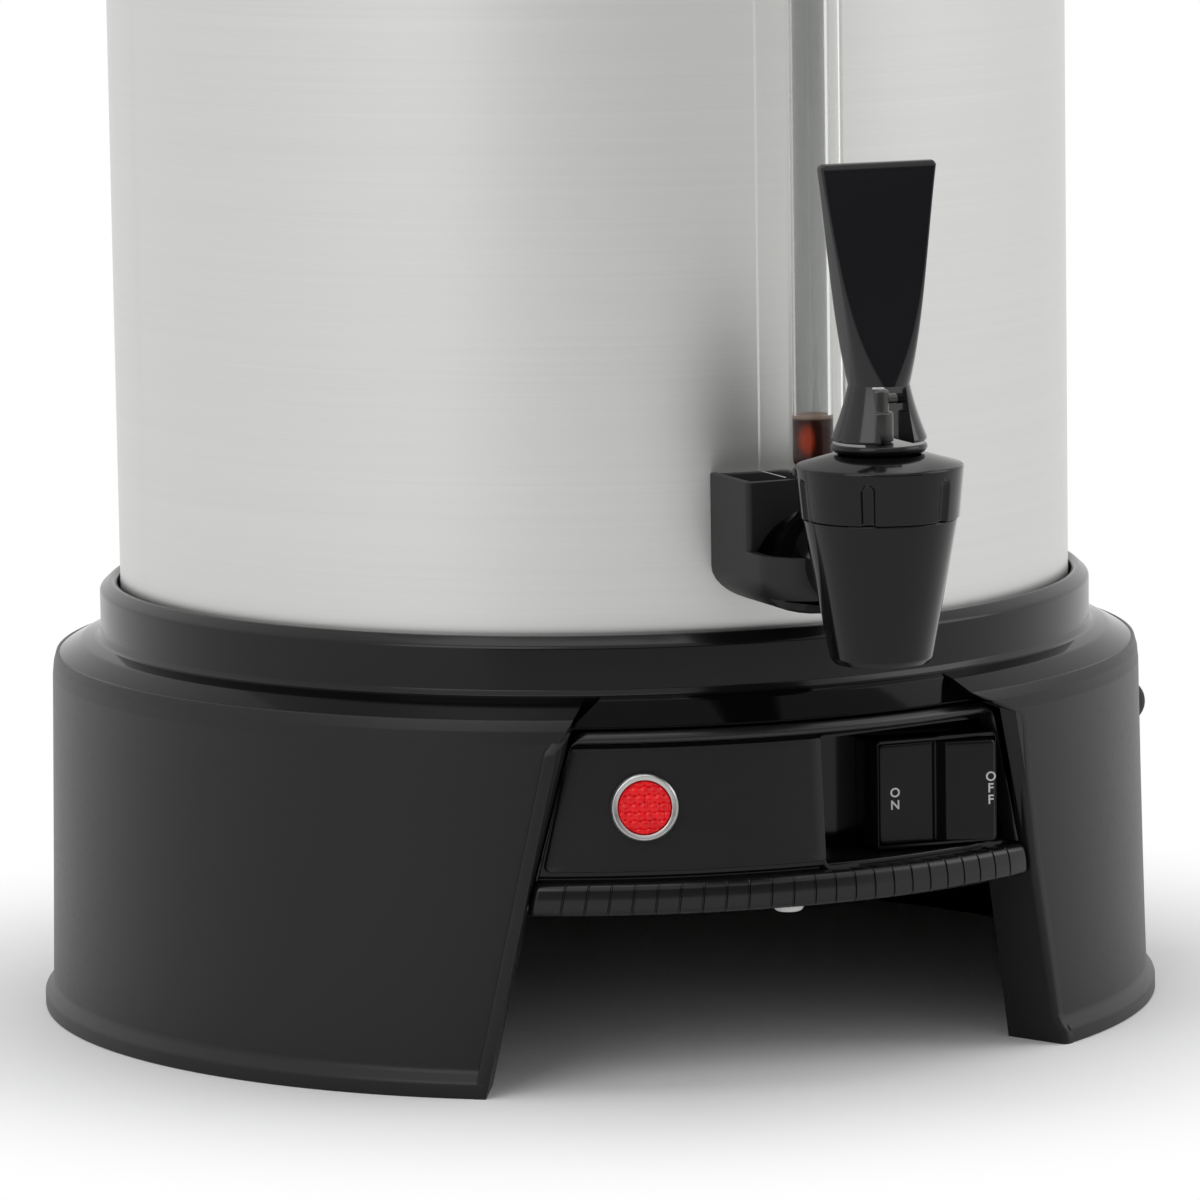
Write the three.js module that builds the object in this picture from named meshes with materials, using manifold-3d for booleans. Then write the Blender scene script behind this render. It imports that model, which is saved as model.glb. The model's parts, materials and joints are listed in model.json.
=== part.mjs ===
// Large percolating coffee urn: tank, moulded base with control panel, sight gauge, pull faucet,
// lid, handles, heaters and the percolating basket with its pump.
// Millimetres, +Z up, the front with the faucet faces -Y, the urn stands on z = 0.
import * as THREE from "three";
import { mergeVertices } from "three/addons/utils/BufferGeometryUtils.js";
import { ConvexGeometry } from "three/addons/geometries/ConvexGeometry.js";
import Module from "manifold-3d";

const wasm = await Module();
wasm.setup();

// Facets round a full turn.
const FINE_FACETS = 80, BIG_FACETS = 48, ROUND_FACETS = 36, MID_FACETS = 24, SMALL_FACETS = 16;
const TINY_FACETS = 12, HEX = 6;

// Clearances.
const GAP = 0.3;             // between neighbouring pieces that are pushed together
const RUNNING_GAP = 0.06;    // round a turning or sliding pin
const WELD = 0.0005;         // vertices closer than this are one
const CUT_PAST = 2;          // how far a cut runs beyond the piece it opens

// Tank.
const TANK_R = 142.5, TANK_WALL = 1.3, TANK_FLOOR_Z = 114.5, TANK_TALL = 359.5, TANK_CORNER = 8;
const TANK_TOP_Z = TANK_FLOOR_Z + TANK_TALL;
const CORNER_SHARE = 0.3;
const RIM_BEAD = 4.4, RIM_HEIGHT = 6;
const WELL_R = 36, WELL_DEPTH = 12, WELL_CORNER = 3;

// Base shell, from the collar down to the foot. Its radii follow the tank.
const COLLAR_GAP = 0.8, COLLAR_OUT = 6.2, LIP_TOP_Z = 129, LIP_CREST = 1.4, LIP_FALL = 3;
const COLLAR_IN_R = TANK_R + COLLAR_GAP, COLLAR_R = TANK_R + COLLAR_OUT, COLLAR_FOOT_Z = 112.6;
const SHOULDER_OUT = 16.1, SHOULDER_EDGE_OUT = 18.8, SHOULDER_ROLL_OUT = 20.4, SKIRT_OUT = 20.9;
const SHOULDER_R = TANK_R + SHOULDER_OUT, SHOULDER_Z = 108.3;
const SHOULDER_EDGE_R = TANK_R + SHOULDER_EDGE_OUT, SHOULDER_EDGE_Z = 106.5;
const SHOULDER_ROLL_R = TANK_R + SHOULDER_ROLL_OUT, SHOULDER_ROLL_Z = 103.9;
const SKIRT_TOP_R = TANK_R + SKIRT_OUT, SKIRT_TOP_Z = 100.5;
const SKIRT_FLARE = 2, SKIRT_LOW_R = SKIRT_TOP_R + SKIRT_FLARE, SKIRT_LOW_Z = 8.2;
const FOOT_STEP = 2.6, FOOT_R = SKIRT_LOW_R + FOOT_STEP, FOOT_RIM_Z = 2.4, FOOT_FLARE_Z = 4.8;
const FOOT_FLARE = 0.5, FOOT_START_Z = 6.9;
const FOOT_START_STEP = 0.7, FOOT_START_R = SKIRT_LOW_R + FOOT_START_STEP;
const SHELL_WALL = 2.6;
const SEAT_DEEP = 16.5, SEAT_IN_R = TANK_R - SEAT_DEEP, SEAT_TOP_Z = 113, SEAT_THICK = 2.8;

// Front opening of the skirt: half widths measured on a plane in front of the axis.
const SPLAY_OUT = 5.5, SPLAY_REF = TANK_R + SPLAY_OUT, SPLAY_SHARE = 0.5;
const OPEN_FOOT_HALF = 95.6, OPEN_TOP_HALF = 71.6, OPEN_TOP_Z = 98.5;
const OPEN_CORNER_HALF = 56, OPEN_CEIL_Z = 112, OPEN_STEP = 11.5, OPEN_IN_R = TANK_R + OPEN_STEP;
const OPEN_PAST = 14, OPEN_FAR = FOOT_R + OPEN_PAST, OPEN_DEEP = 52.5, OPEN_NEAR = TANK_R - OPEN_DEEP;
const RETURN_WALL = 2.6, RETURN_TOP_Z = 101.5, RETURN_DEEP = 16.8;
const RETURN_IN_R = SKIRT_TOP_R - RETURN_DEEP;
const RETURN_STEP_Z = 51, RETURN_SHALLOW = 5.9, RETURN_UPPER_R = SKIRT_TOP_R - RETURN_SHALLOW;
const BAND_WIDTH = 4.2, BAND_PROUD = 1.1;

// Control panel.
const PANEL_OUT = 11.7, PANEL_TOP_R = TANK_R + PANEL_OUT, PANEL_TOP_Z = 98.9;
const PANEL_SPREAD = 3.6, PANEL_LOW_R = PANEL_TOP_R + PANEL_SPREAD, PANEL_LOW_Z = 61.4, PANEL_WALL = 2.4;
const BROW_TOP_Z = 102.6, BROW_BACK = 0.4, BROW_TOP_R = PANEL_TOP_R + BROW_BACK;
const BROW_PROUD = 3.4, BROW_R = PANEL_TOP_R + BROW_PROUD, BROW_LOW_Z = 99.4;
const FRAME_WIDTH = 2, FRAME_PROUD = 2.6, FRAME_LOW_R = PANEL_LOW_R + FRAME_PROUD;
const APRON_STEP = 1.8, APRON_OUT_R = PANEL_LOW_R - APRON_STEP, APRON_LOW_Z = 52;
const LIP_DEEP = 20.8, LIP_IN_R = PANEL_LOW_R - LIP_DEEP, LIP_THICK = 2;
const POCKET_INSET = 5.6, POCKET_REACH = OPEN_TOP_HALF - POCKET_INSET;
const POCKET_WIDTH = 60, POCKET_LEFT_X = POCKET_REACH - POCKET_WIDTH;
const POCKET_DEEP = 24.2, POCKET_BACK = PANEL_TOP_R - POCKET_DEEP;
const POCKET_TOP_Z = 97.6, POCKET_FLOOR_Z = 61.4, POCKET_WALL = 2;
const PLATE_THICK = 0.8, PLATE_TOP_Z = 98, PLATE_LOW_Z = 63.2, PLATE_GAP = 0.1;

// Pilot lamp.
const LAMP_ANGLE = -17.2, LAMP_Z = 81.2, LAMP_R = 9.5, LAMP_RING = 1.7, LAMP_PROUD = 2.4, LAMP_DOME = 1.6;
const LAMP_BODY_R = 6.6, LAMP_BODY_LONG = 26, LAMP_FLANGE = 1.2;

// Rocker switch. Its housing stands on the back of the pocket.
const SWITCH_INSET = 25, SWITCH_X = OPEN_TOP_HALF - SWITCH_INSET, SWITCH_Z = 78;
const SWITCH_HALF_W = 19, SWITCH_HALF_H = 16;
const SWITCH_TALL = 14.6, SWITCH_FACE = POCKET_BACK + SWITCH_TALL, SWITCH_LIP = 1.2;
const PIVOT_SUNK = 3.6, ROCKER_PIVOT = SWITCH_FACE - PIVOT_SUNK, ROCKER_END_R = 18, ROCKER_HALF_H = 14.4;
const ROCKER_DISH = 3.2, ROCKER_RISE = 2.6, ROCKER_BACK = 4, ROCKER_LEAN = 8;
const CAVITY_FLOOR = 2.4, SWITCH_CAVITY = POCKET_BACK + CAVITY_FLOOR;
const TRUNNION_R = 1.5, TRUNNION_LONG = 0.8;
const SWITCH_BODY_HALF_W = 16.5, SWITCH_BODY_HALF_H = 12;
const SWITCH_BODY_DEEP = 22, SWITCH_BODY_BACK = POCKET_BACK - SWITCH_BODY_DEEP;
const BLADE_HALF_W = 3.2, BLADE_HALF_T = 0.4, BLADE_LONG = 7, BLADE_PITCH = 10;

// Bumper ledge under the panel.
const LEDGE_OFF = 0.4, LEDGE_IN_R = APRON_OUT_R + LEDGE_OFF, LEDGE_PROUD = 7.2;
const LEDGE_R = LEDGE_IN_R + LEDGE_PROUD, LEDGE_LOW_Z = 51.4, LEDGE_TOP_Z = 60.6;
const LEDGE_ROUND = 2.2, LEDGE_SMALL_ROUND = 0.7;
const GROOVE_STEP = 2.35, GROOVE_COUNT = 23, GROOVE_HALF = 0.35, GROOVE_DEPTH = 0.8;

// Bottom pan, its clip, stud and nut.
const PAN_Z = 50, PAN_THICK = 1.2, PAN_RIM = 5, PAN_INSIDE = 4.4, PAN_R = SKIRT_LOW_R - PAN_INSIDE;
const PAN_FRONT_BACK = 10, PAN_FRONT_R = PAN_R - PAN_FRONT_BACK;
const PAN_RETURN_GAP = 1, PAN_RETURN_R = RETURN_IN_R - PAN_RETURN_GAP;
const CLIP_IN = 7, CLIP_OUT = LIP_IN_R + CLIP_IN, CLIP_R = 4.3, CLIP_HEAD = 2.9, CLIP_SHANK_R = 2;
const STUD_R = 3, NUT_R = 6.4, NUT_THICK = 5, STUD_PAST = 2.5;
const VENT_COUNT = 8, VENT_INSIDE = 50.5, VENT_R = TANK_R - VENT_INSIDE, VENT_HALF_W = 3, VENT_LONG = 26;

// Heaters, thermostat and limit switch under the tank.
const BREW_RIM = 11, BREW_R = WELL_R + BREW_RIM, BREW_TALL = 9.5, BREW_PLATE = 5;
const WARM_IN_R = 62, WARM_R = 74, WARM_TALL = 4.5;
const THERMO_R = 10, THERMO_TALL = 11, THERMO_X = 55, LIMIT_R = 8, LIMIT_TALL = 9;
const THERMO_PIN_R = 2, THERMO_PIN_LONG = 5;

// Cord gland on the right side; the cord itself is not there.
const GLAND_Z = 75, GLAND_R = 9.3, GLAND_OFF = 1.1, GLAND_FLANGE = 5.5, GLAND_NECK_R = 6.2;
const GLAND_BACK_X = SKIRT_TOP_R + GLAND_OFF, GLAND_DOME_X = GLAND_BACK_X + GLAND_FLANGE;
const GLAND_LONG = 14.5, GLAND_BORE_R = 3.7, GLAND_END_X = GLAND_BACK_X - GLAND_LONG;
const GLAND_NUT_R = 9, GLAND_NUT_IN = 4, GLAND_NUT_X = GLAND_END_X + GLAND_NUT_IN, GLAND_NUT_THICK = 5.5;
const GLAND_SHARES = [0, 0.35, 0.65];

// Faucet: bodies of revolution round a vertical axis in front of the tank.
const FAUCET_OUT = 67.5, FAUCET_Y = TANK_R + FAUCET_OUT, SHANK_Z = 152.4;
const CONE_TOP_Z = 167.3, CONE_TOP_R = 21.3, CONE_LOW_Z = 127.2, CONE_LOW_R = 14.2, CONE_ROUND = 1.6;
const SPOUT_R = 9, SEAT_RISE = 15.3, SEAT_Z = CONE_LOW_Z + SEAT_RISE, CHAMBER_R = 14.8, NECK_R = 18.6;
const NECK_TOP_Z = 176.5;
const NUT_LOW_Z = 167.6, NUT_LOW_R = 21.8, NUT_EDGE_Z = 182, NUT_EDGE_R = 23.2, NUT_CROWN_Z = 185;
const NUT_CROWN_R = 12.8, NUT_ROOF = 2.6;
const FLUTE_COUNT = 6, FLUTE_HALF = 1.95, FLUTE_TOP_Z = 177, FLUTE_DEPTH = 0.9, FLUTE_TURN = 27.7;
const RING_R = 13.4, RING_TALL = 3, RING_TOP_Z = NUT_CROWN_Z + RING_TALL, RING_WAIST_R = 11.4;
const STEM_R = 3.3, STEM_TOP_Z = 202.6, STEM_NECK_R = 2.7, STEM_BLOCK_R = 3.9, STEM_BLOCK_Z = 196.4;
const PIN_Z = 199.8, PIN_R = 1.4;
const CUP_R = 11.5, CUP_TALL = 8, CUP_LIP = 2, STEM_FLANGE_R = 7, STEM_FLANGE_THICK = 1.6, CUP_GAP = 0.1;
const SPRING_R = 9.6, SPRING_WIRE_R = 0.7, SPRING_TURNS = 5, SPRING_STEPS = 11, SPRING_SIDES = 5;
const SOCKET_R = 12.8, SOCKET_BACK = 31.6;

// Lever.
const LEVER_BASE_Z = 188.6, LEVER_BASE_R = 13.1, LEVER_WAIST_Z = 204, LEVER_WAIST_R = 8.5;
const LEVER_TOP_Z = 264.8, LEVER_TOP_HALF_W = 17.2, LEVER_TOP_HALF_T = 1.9, LEVER_SLOT_HALF = 5;
const LEVER_THINNING = 1.5, LEVER_ROUNDING = 4;
const LEVER_CORNER = 1.2, LEVER_BASE_ROUND = 0.8, LEVER_EDGE_R = 0.5;
const LEVER_SHARES = [0, 0.16, 0.36, 0.64, 1];

// Shank between tank and faucet.
const SHANK_R = 9.5, SHANK_BORE_R = 6, SHANK_SHORT = 17, SHANK_FRONT = FAUCET_Y - SHANK_SHORT;
const SHANK_IN = 13.5, SHANK_BACK = TANK_R - SHANK_IN;
const SHANK_NUT_R = 15, SHANK_NUT_THICK = 7, WASHER_R = 15.5, WASHER_THICK = 2;
const COUPLING_R = 13, COUPLING_OFF = 4.5, COUPLING_BACK = TANK_R + COUPLING_OFF, COUPLING_LONG = 24;
const COUPLING_FRONT = COUPLING_BACK + COUPLING_LONG;

// Gauge bracket: a box on the tank, and under it a nose with an oval bottom that holds the shank.
const BRACKET_HALF_W = 21.2, BRACKET_TOP_Z = 173.6, BRACKET_JOIN_Z = 154;
const BRACKET_OUT = 24.9, BRACKET_FRONT = TANK_R + BRACKET_OUT;
const BRACKET_WALL = 2.4, BRACKET_OFF = 0.4, BRACKET_MID_Z = 147.2, BRACKET_OVAL = 11.5;
const NOSE_OUT = 43.5, NOSE_FRONT = TANK_R + NOSE_OUT, NOSE_ROUND = 12.5, ARCH_DROP = 7.4, ARCH_R = 20.2;
const SLOT_HALF_W = 15, SLOT_OUT = 11.5, SLOT_BACK = TANK_R + SLOT_OUT, SLOT_LONG = 16;
const GUARD_HALF_W = 8.6, GUARD_PROUD = 4.4, GUARD_FRONT = BRACKET_FRONT + GUARD_PROUD, GUARD_OFF = 3.5;
const GUARD_BACK = TANK_R + GUARD_OFF, GUARD_WALL = 1.2, GUARD_ROUND = 5;
const GAUGE_OFF = 21.7, GAUGE_OUT = TANK_R + GAUGE_OFF, GLASS_R = 6, GLASS_BORE_R = 4.6;
const GLASS_LOW_Z = 176.4, GLASS_DROP = 37, GLASS_TOP_Z = TANK_TOP_Z - GLASS_DROP;
const GAUGE_SEAT_R = 4.2, GAUGE_SEAT_LOW_Z = 162.3, GAUGE_COLLAR_R = 6.4, GAUGE_COLLAR_THICK = 2.2;
const GUARD_SHORT = 1, GUARD_TOP_Z = GLASS_TOP_Z - GUARD_SHORT;
const CAP_TALL = 16, CAP_WALL = 2.2, CAP_TAB_DROP = 7;

// Handles, one on either side.
const HANDLE_DROP = 66, HANDLE_Z = TANK_TOP_Z - HANDLE_DROP;
const HANDLE_HALF_H = 12, HANDLE_HALF_W = 52, HANDLE_OUT = 42, HANDLE_BAR = 15;
const HANDLE_FOOT = 17, HANDLE_CORNER = 18, HANDLE_INNER_CORNER = 8, SCREW_R = 2.1, SCREW_HEAD_R = 4.6;
const SCREW_HEAD = 2.2, SCREW_LONG = 14, SCREW_SPREAD = 42, SCREW_HOLE_DEEP = 9;

// Lid with knob.
const LID_OVER = 6.7, LID_R = TANK_R + LID_OVER, LID_WALL = 1.2, LID_SEAT_GAP = 0.2;
const LID_PLUG_IN = 3.1, LID_PLUG_R = TANK_R - LID_PLUG_IN, LID_PLUG_DROP = 17;
const LID_STEP = 4, LID_DOME = 28, LID_FLAT_R = 26, LID_HEM = 5, LID_CHANNEL = 9.4;
const LID_DOME_R = LID_PLUG_R - LID_CHANNEL;
const DOME_SHARES = [0, 0.3, 0.55, 0.78, 1];
const KNOB_BASE_R = 19, KNOB_NECK_R = 11, KNOB_TOP_R = 23, KNOB_TALL = 40, KNOB_SCREW_R = 2.4;
const KNOB_SCREW_HEAD_R = 5, KNOB_FOOT = 5, KNOB_CROWN = 12;

// Basket, cover and pump.
const PUMP_R = 6, PUMP_BORE_R = 4.8, PUMP_SHORT = 12, PUMP_TOP_Z = TANK_TOP_Z - PUMP_SHORT;
const BASKET_DEEP = 122, BASKET_FLOOR_Z = TANK_TOP_Z - BASKET_DEEP, BASKET_TALL = 88;
const BASKET_IN = 42.5, BASKET_R = TANK_R - BASKET_IN, BASKET_WALL = 1, BASKET_HUB_TALL = 82;
const HUB_GAP = 2, BASKET_HUB_R = PUMP_R + HUB_GAP + BASKET_WALL, BASKET_LIP = 3.5;
const BASKET_HOLES = 14, BASKET_HOLE_R = 2, BASKET_HOLE_RING = 62;
const COVER_SLACK = 1.6, COVER_R = BASKET_R - COVER_SLACK, COVER_THICK = 1, COVER_DISH = 8;
const COVER_HUB_R = 12, COVER_DROP = 8, COVER_HOLES = 10, COVER_HOLE_RING = 48;
const STOP_STEP = 3.8, PUMP_STOP_R = PUMP_R + STOP_STEP, PUMP_STOP_THICK = 3;
const FOOT_INSIDE = 4.7, PUMP_FOOT_R = WELL_R - TANK_WALL - FOOT_INSIDE, PUMP_FOOT_TALL = 13;
const PUMP_FOOT_WALL = 1.2, PUMP_FLANGE_R = 11, PUMP_SLOT_HALF = 3, PUMP_SLOTS = 3;
const PUMP_WASHER_R = 13, PUMP_WASHER_THICK = 1.4, PUMP_WASHER_LIFT = 4;

// The urn stands so that the middle of its box is above the origin.
const SHIFT_Y = (FAUCET_Y + NUT_EDGE_R - FOOT_R) / 2;

const RIGHT = new THREE.Vector3(1, 0, 0), BACK = new THREE.Vector3(0, 1, 0),
  UP = new THREE.Vector3(0, 0, 1);

// A closed geometry as a solid, its faces turned outwards.
function solidOf(geometry) {
  const bare = geometry.index ? geometry.toNonIndexed() : geometry.clone();
  bare.deleteAttribute("normal");
  bare.deleteAttribute("uv");
  const merged = mergeVertices(bare, WELD);
  const at = merged.attributes.position.array, tri = new Uint32Array(merged.index.array);
  let volume = 0;
  for (let i = 0; i < tri.length; i += 3) {
    const [a, b, c] = [0, 1, 2].map((k) => new THREE.Vector3().fromArray(at, 3 * tri[i + k]));
    volume += a.dot(b.cross(c));
  }
  if (volume < 0)
    for (let i = 0; i < tri.length; i += 3) [tri[i + 1], tri[i + 2]] = [tri[i + 2], tri[i + 1]];
  return new wasm.Manifold(new wasm.Mesh({ numProp: 3, vertProperties: at, triVerts: tri }));
}

// A profile of [radius, height] pairs turned round the vertical axis.
function turned(profile, facets) {
  const points = profile.map(([r, z]) => new THREE.Vector2(r, z));
  const first = points[0], last = points[points.length - 1];
  if (first.x > 0 || last.x > 0) points.push(first.clone());
  return solidOf(new THREE.LatheGeometry(points, facets).rotateX(Math.PI / 2));
}

// An outline extruded from low to high along x (outline y, z), y (outline x, z) or z (outline x, y).
function prism(outline, low, high, axis, holes = []) {
  const shape = new THREE.Shape(outline.map(([a, b]) => new THREE.Vector2(a, b)));
  for (const hole of holes)
    shape.holes.push(new THREE.Path(hole.map(([a, b]) => new THREE.Vector2(a, b))));
  const geometry = new THREE.ExtrudeGeometry(shape, { depth: high - low, bevelEnabled: false });
  const basis = new THREE.Matrix4();
  if (axis === "x") basis.makeBasis(BACK, UP, RIGHT).setPosition(low, 0, 0);
  if (axis === "y") basis.makeBasis(RIGHT, UP, BACK.clone().negate()).setPosition(0, high, 0);
  if (axis === "z") basis.setPosition(0, 0, low);
  return solidOf(geometry.applyMatrix4(basis));
}

// A ring of points, and a rectangle with round corners.
function circle(a, b, radius, count, turn = 0) {
  return Array.from({ length: count }, (_, i) => {
    const angle = ((i + turn) / count) * 2 * Math.PI;
    return [a + radius * Math.cos(angle), b + radius * Math.sin(angle)];
  });
}
function rectangle(left, low, right, high, corner = 0, steps = 3) {
  if (!corner) return [[left, low], [right, low], [right, high], [left, high]];
  const out = [];
  const centres = [[right - corner, low + corner], [right - corner, high - corner],
    [left + corner, high - corner], [left + corner, low + corner]];
  centres.forEach(([a, b], quarter) => {
    for (let i = 0; i <= steps; i++) {
      const angle = (quarter - 1 + i / steps) * (Math.PI / 2);
      out.push([a + corner * Math.cos(angle), b + corner * Math.sin(angle)]);
    }
  });
  return out;
}
const rod = (a, b, radius, low, high, axis, facets = SMALL_FACETS) =>
  prism(circle(a, b, radius, facets), low, high, axis);
const tube = (outer, inner, low, high, facets) =>
  turned([[inner, low], [outer, low], [outer, high], [inner, high]], facets);
// A solid made round the vertical axis laid down so that its height runs forward, or to the right.
const forward = (solid) => solid.rotate([90, 0, 0]);
const sideways = (solid) => solid.rotate([0, 90, 0]);

const group = new THREE.Group();
const LOOKS = {
  aluminium: { color: 0xc9cbcc, roughness: 0.32, metalness: 1 },
  steel: { color: 0x9a9c9e, roughness: 0.35, metalness: 1 },
  black: { color: 0x141416, roughness: 0.4, metalness: 0 },
  gloss: { color: 0x0b0b0d, roughness: 0.15, metalness: 0 },
  rubber: { color: 0x1d1d1f, roughness: 0.85, metalness: 0 },
  red: { color: 0xd2141c, roughness: 0.2, metalness: 0 },
  clear: { color: 0xdfe6e8, roughness: 0.05, metalness: 0 },
  white: { color: 0xe9e9e6, roughness: 0.5, metalness: 0 },
  brown: { color: 0x5b3a24, roughness: 0.6, metalness: 0 },
};
function piece(name, solid, look) {
  const made = solid.getMesh(), geometry = new THREE.BufferGeometry();
  const at = new Float32Array(made.numVert * 3);
  for (let i = 0; i < made.numVert; i++)
    for (let k = 0; k < 3; k++) at[3 * i + k] = made.vertProperties[made.numProp * i + k];
  geometry.setAttribute("position", new THREE.BufferAttribute(at, 3));
  geometry.setIndex(new THREE.BufferAttribute(new Uint32Array(made.triVerts), 1));
  const flat = geometry.toNonIndexed();
  flat.computeVertexNormals();
  const mesh = new THREE.Mesh(flat, new THREE.MeshStandardMaterial(LOOKS[look]));
  mesh.name = name;
  group.add(mesh);
}

// Tank.
const floorTop = TANK_FLOOR_Z + TANK_WALL, inR = TANK_R - TANK_WALL, wellInR = WELL_R - TANK_WALL;
const wellZ = TANK_FLOOR_Z - WELL_DEPTH, cornerCut = TANK_CORNER * CORNER_SHARE;
let tank = turned([
  [0, wellZ], [WELL_R - WELL_CORNER, wellZ], [WELL_R, wellZ + WELL_CORNER], [WELL_R, TANK_FLOOR_Z],
  [TANK_R - TANK_CORNER, TANK_FLOOR_Z], [TANK_R - cornerCut, TANK_FLOOR_Z + cornerCut],
  [TANK_R, TANK_FLOOR_Z + TANK_CORNER], [TANK_R, TANK_TOP_Z - RIM_HEIGHT],
  [TANK_R + RIM_BEAD, TANK_TOP_Z - RIM_HEIGHT + TANK_WALL], [TANK_R + RIM_BEAD, TANK_TOP_Z - TANK_WALL],
  [TANK_R + TANK_WALL, TANK_TOP_Z], [inR, TANK_TOP_Z],
  [inR, floorTop + TANK_CORNER], [inR - cornerCut, floorTop + cornerCut],
  [inR - TANK_CORNER, floorTop], [wellInR, floorTop], [wellInR, wellZ + WELL_CORNER + TANK_WALL],
  [wellInR - WELL_CORNER, wellZ + TANK_WALL], [0, wellZ + TANK_WALL],
], BIG_FACETS);
const screwSpots = [];
for (const side of [-1, 1]) for (const end of [-1, 1]) screwSpots.push([side, end]);
tank = tank.subtract(rod(0, SHANK_Z, SHANK_R + GAP, -TANK_R - CUT_PAST, -SHANK_BACK, "y"));
for (const [side, end] of screwSpots) {
  const low = side < 0 ? -TANK_R - CUT_PAST : TANK_R / 2;
  const high = side < 0 ? -TANK_R / 2 : TANK_R + CUT_PAST;
  tank = tank.subtract(rod(end * SCREW_SPREAD, HANDLE_Z, SCREW_R + GAP, low, high, "x", TINY_FACETS));
}
piece("tank", tank, "aluminium");

// Base shell.
const seatLowZ = SEAT_TOP_Z - SEAT_THICK;
const skirtOut = [
  [SHOULDER_R, SHOULDER_Z], [SHOULDER_EDGE_R, SHOULDER_EDGE_Z], [SHOULDER_ROLL_R, SHOULDER_ROLL_Z],
  [SKIRT_TOP_R, SKIRT_TOP_Z], [SKIRT_LOW_R, SKIRT_LOW_Z], [FOOT_START_R, FOOT_START_Z],
  [FOOT_R - FOOT_FLARE, FOOT_FLARE_Z], [FOOT_R, FOOT_RIM_Z], [FOOT_R, 0],
];
const skirtIn = [
  [SKIRT_LOW_R - SHELL_WALL, 0], [SKIRT_LOW_R - SHELL_WALL, SKIRT_LOW_Z],
  [SKIRT_TOP_R - SHELL_WALL, SKIRT_TOP_Z], [SHOULDER_EDGE_R - SHELL_WALL, SHOULDER_EDGE_Z - SHELL_WALL],
  [SHOULDER_R - SHELL_WALL, SHOULDER_Z - SHELL_WALL],
];
let shell = turned([
  [COLLAR_IN_R, SEAT_TOP_Z], [COLLAR_IN_R, LIP_TOP_Z - LIP_CREST / 2],
  [COLLAR_IN_R + LIP_CREST, LIP_TOP_Z],
  [COLLAR_R - LIP_CREST / 2, LIP_TOP_Z - LIP_FALL], [COLLAR_R, LIP_TOP_Z - LIP_FALL - LIP_CREST],
  [COLLAR_R, COLLAR_FOOT_Z], [COLLAR_R + LIP_CREST, COLLAR_FOOT_Z - LIP_CREST / 2],
  ...skirtOut, ...skirtIn,
  [COLLAR_R, seatLowZ - LIP_CREST / 2], [COLLAR_IN_R, seatLowZ], [SEAT_IN_R, seatLowZ],
  [SEAT_IN_R, SEAT_TOP_Z],
], BIG_FACETS);

// The opening seen from the front, grown all round, and splayed so that its sides point at the axis.
const openingOutline = (grow) => [
  [-(OPEN_FOOT_HALF + grow), -CUT_PAST], [OPEN_FOOT_HALF + grow, -CUT_PAST],
  [OPEN_TOP_HALF + grow, OPEN_TOP_Z], [OPEN_CORNER_HALF + grow, OPEN_CEIL_Z],
  [-(OPEN_CORNER_HALF + grow), OPEN_CEIL_Z], [-(OPEN_TOP_HALF + grow), OPEN_TOP_Z],
];
function splayed(outline, near = OPEN_NEAR) {
  const shape = new THREE.Shape(outline.map(([x, z]) => new THREE.Vector2(x, z)));
  const geometry = new THREE.ExtrudeGeometry(shape, { depth: OPEN_FAR - near, bevelEnabled: false });
  const facing = new THREE.Matrix4().makeBasis(RIGHT, UP, BACK.clone().negate());
  geometry.applyMatrix4(facing.setPosition(0, -near, 0));
  const at = geometry.attributes.position;
  for (let i = 0; i < at.count; i++)
    at.setX(i, at.getX(i) + Math.sign(at.getX(i)) * (-at.getY(i) - SPLAY_REF) * SPLAY_SHARE);
  return solidOf(geometry);
}
const ringOf = (inner, outer, low, high) => tube(outer, inner, low, high, BIG_FACETS);
const opening = splayed(openingOutline(0));
const returnZone = turned([
  [RETURN_IN_R, 0], [SKIRT_LOW_R - SHELL_WALL / 2, 0], [SKIRT_LOW_R - SHELL_WALL / 2, SKIRT_LOW_Z],
  [SKIRT_TOP_R - SHELL_WALL / 2, SKIRT_TOP_Z], [RETURN_UPPER_R, RETURN_TOP_Z],
  [RETURN_UPPER_R, PANEL_LOW_Z - POCKET_WALL], [RETURN_IN_R, RETURN_STEP_Z],
], BIG_FACETS);
const bandZone = turned([
  [SKIRT_TOP_R - SHELL_WALL / 2, 0], [FOOT_R, 0], [FOOT_R, FOOT_RIM_Z],
  [SKIRT_TOP_R + BAND_PROUD, SKIRT_TOP_Z - BAND_PROUD], [SKIRT_TOP_R, SKIRT_TOP_Z],
  [SKIRT_TOP_R - SHELL_WALL / 2, SKIRT_TOP_Z],
], BIG_FACETS);
shell = shell.add(splayed(openingOutline(RETURN_WALL)).intersect(returnZone))
  .add(splayed(openingOutline(BAND_WIDTH)).intersect(bandZone));
shell = shell.subtract(opening.intersect(ringOf(OPEN_IN_R, OPEN_FAR, -CUT_PAST, OPEN_CEIL_Z)));
shell = shell.subtract(opening.intersect(ringOf(OPEN_NEAR, OPEN_FAR, -CUT_PAST,
  SHOULDER_Z - SHELL_WALL)));
shell = shell.subtract(rod(0, GLAND_Z, GLAND_NECK_R + GAP, GLAND_END_X, OPEN_FAR, "x"));
piece("base_shell", shell, "black");
piece("tank_gasket", tube(TANK_R - TANK_CORNER - GAP, SEAT_IN_R + GAP, SEAT_TOP_Z, TANK_FLOOR_Z,
  ROUND_FACETS), "rubber");

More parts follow.
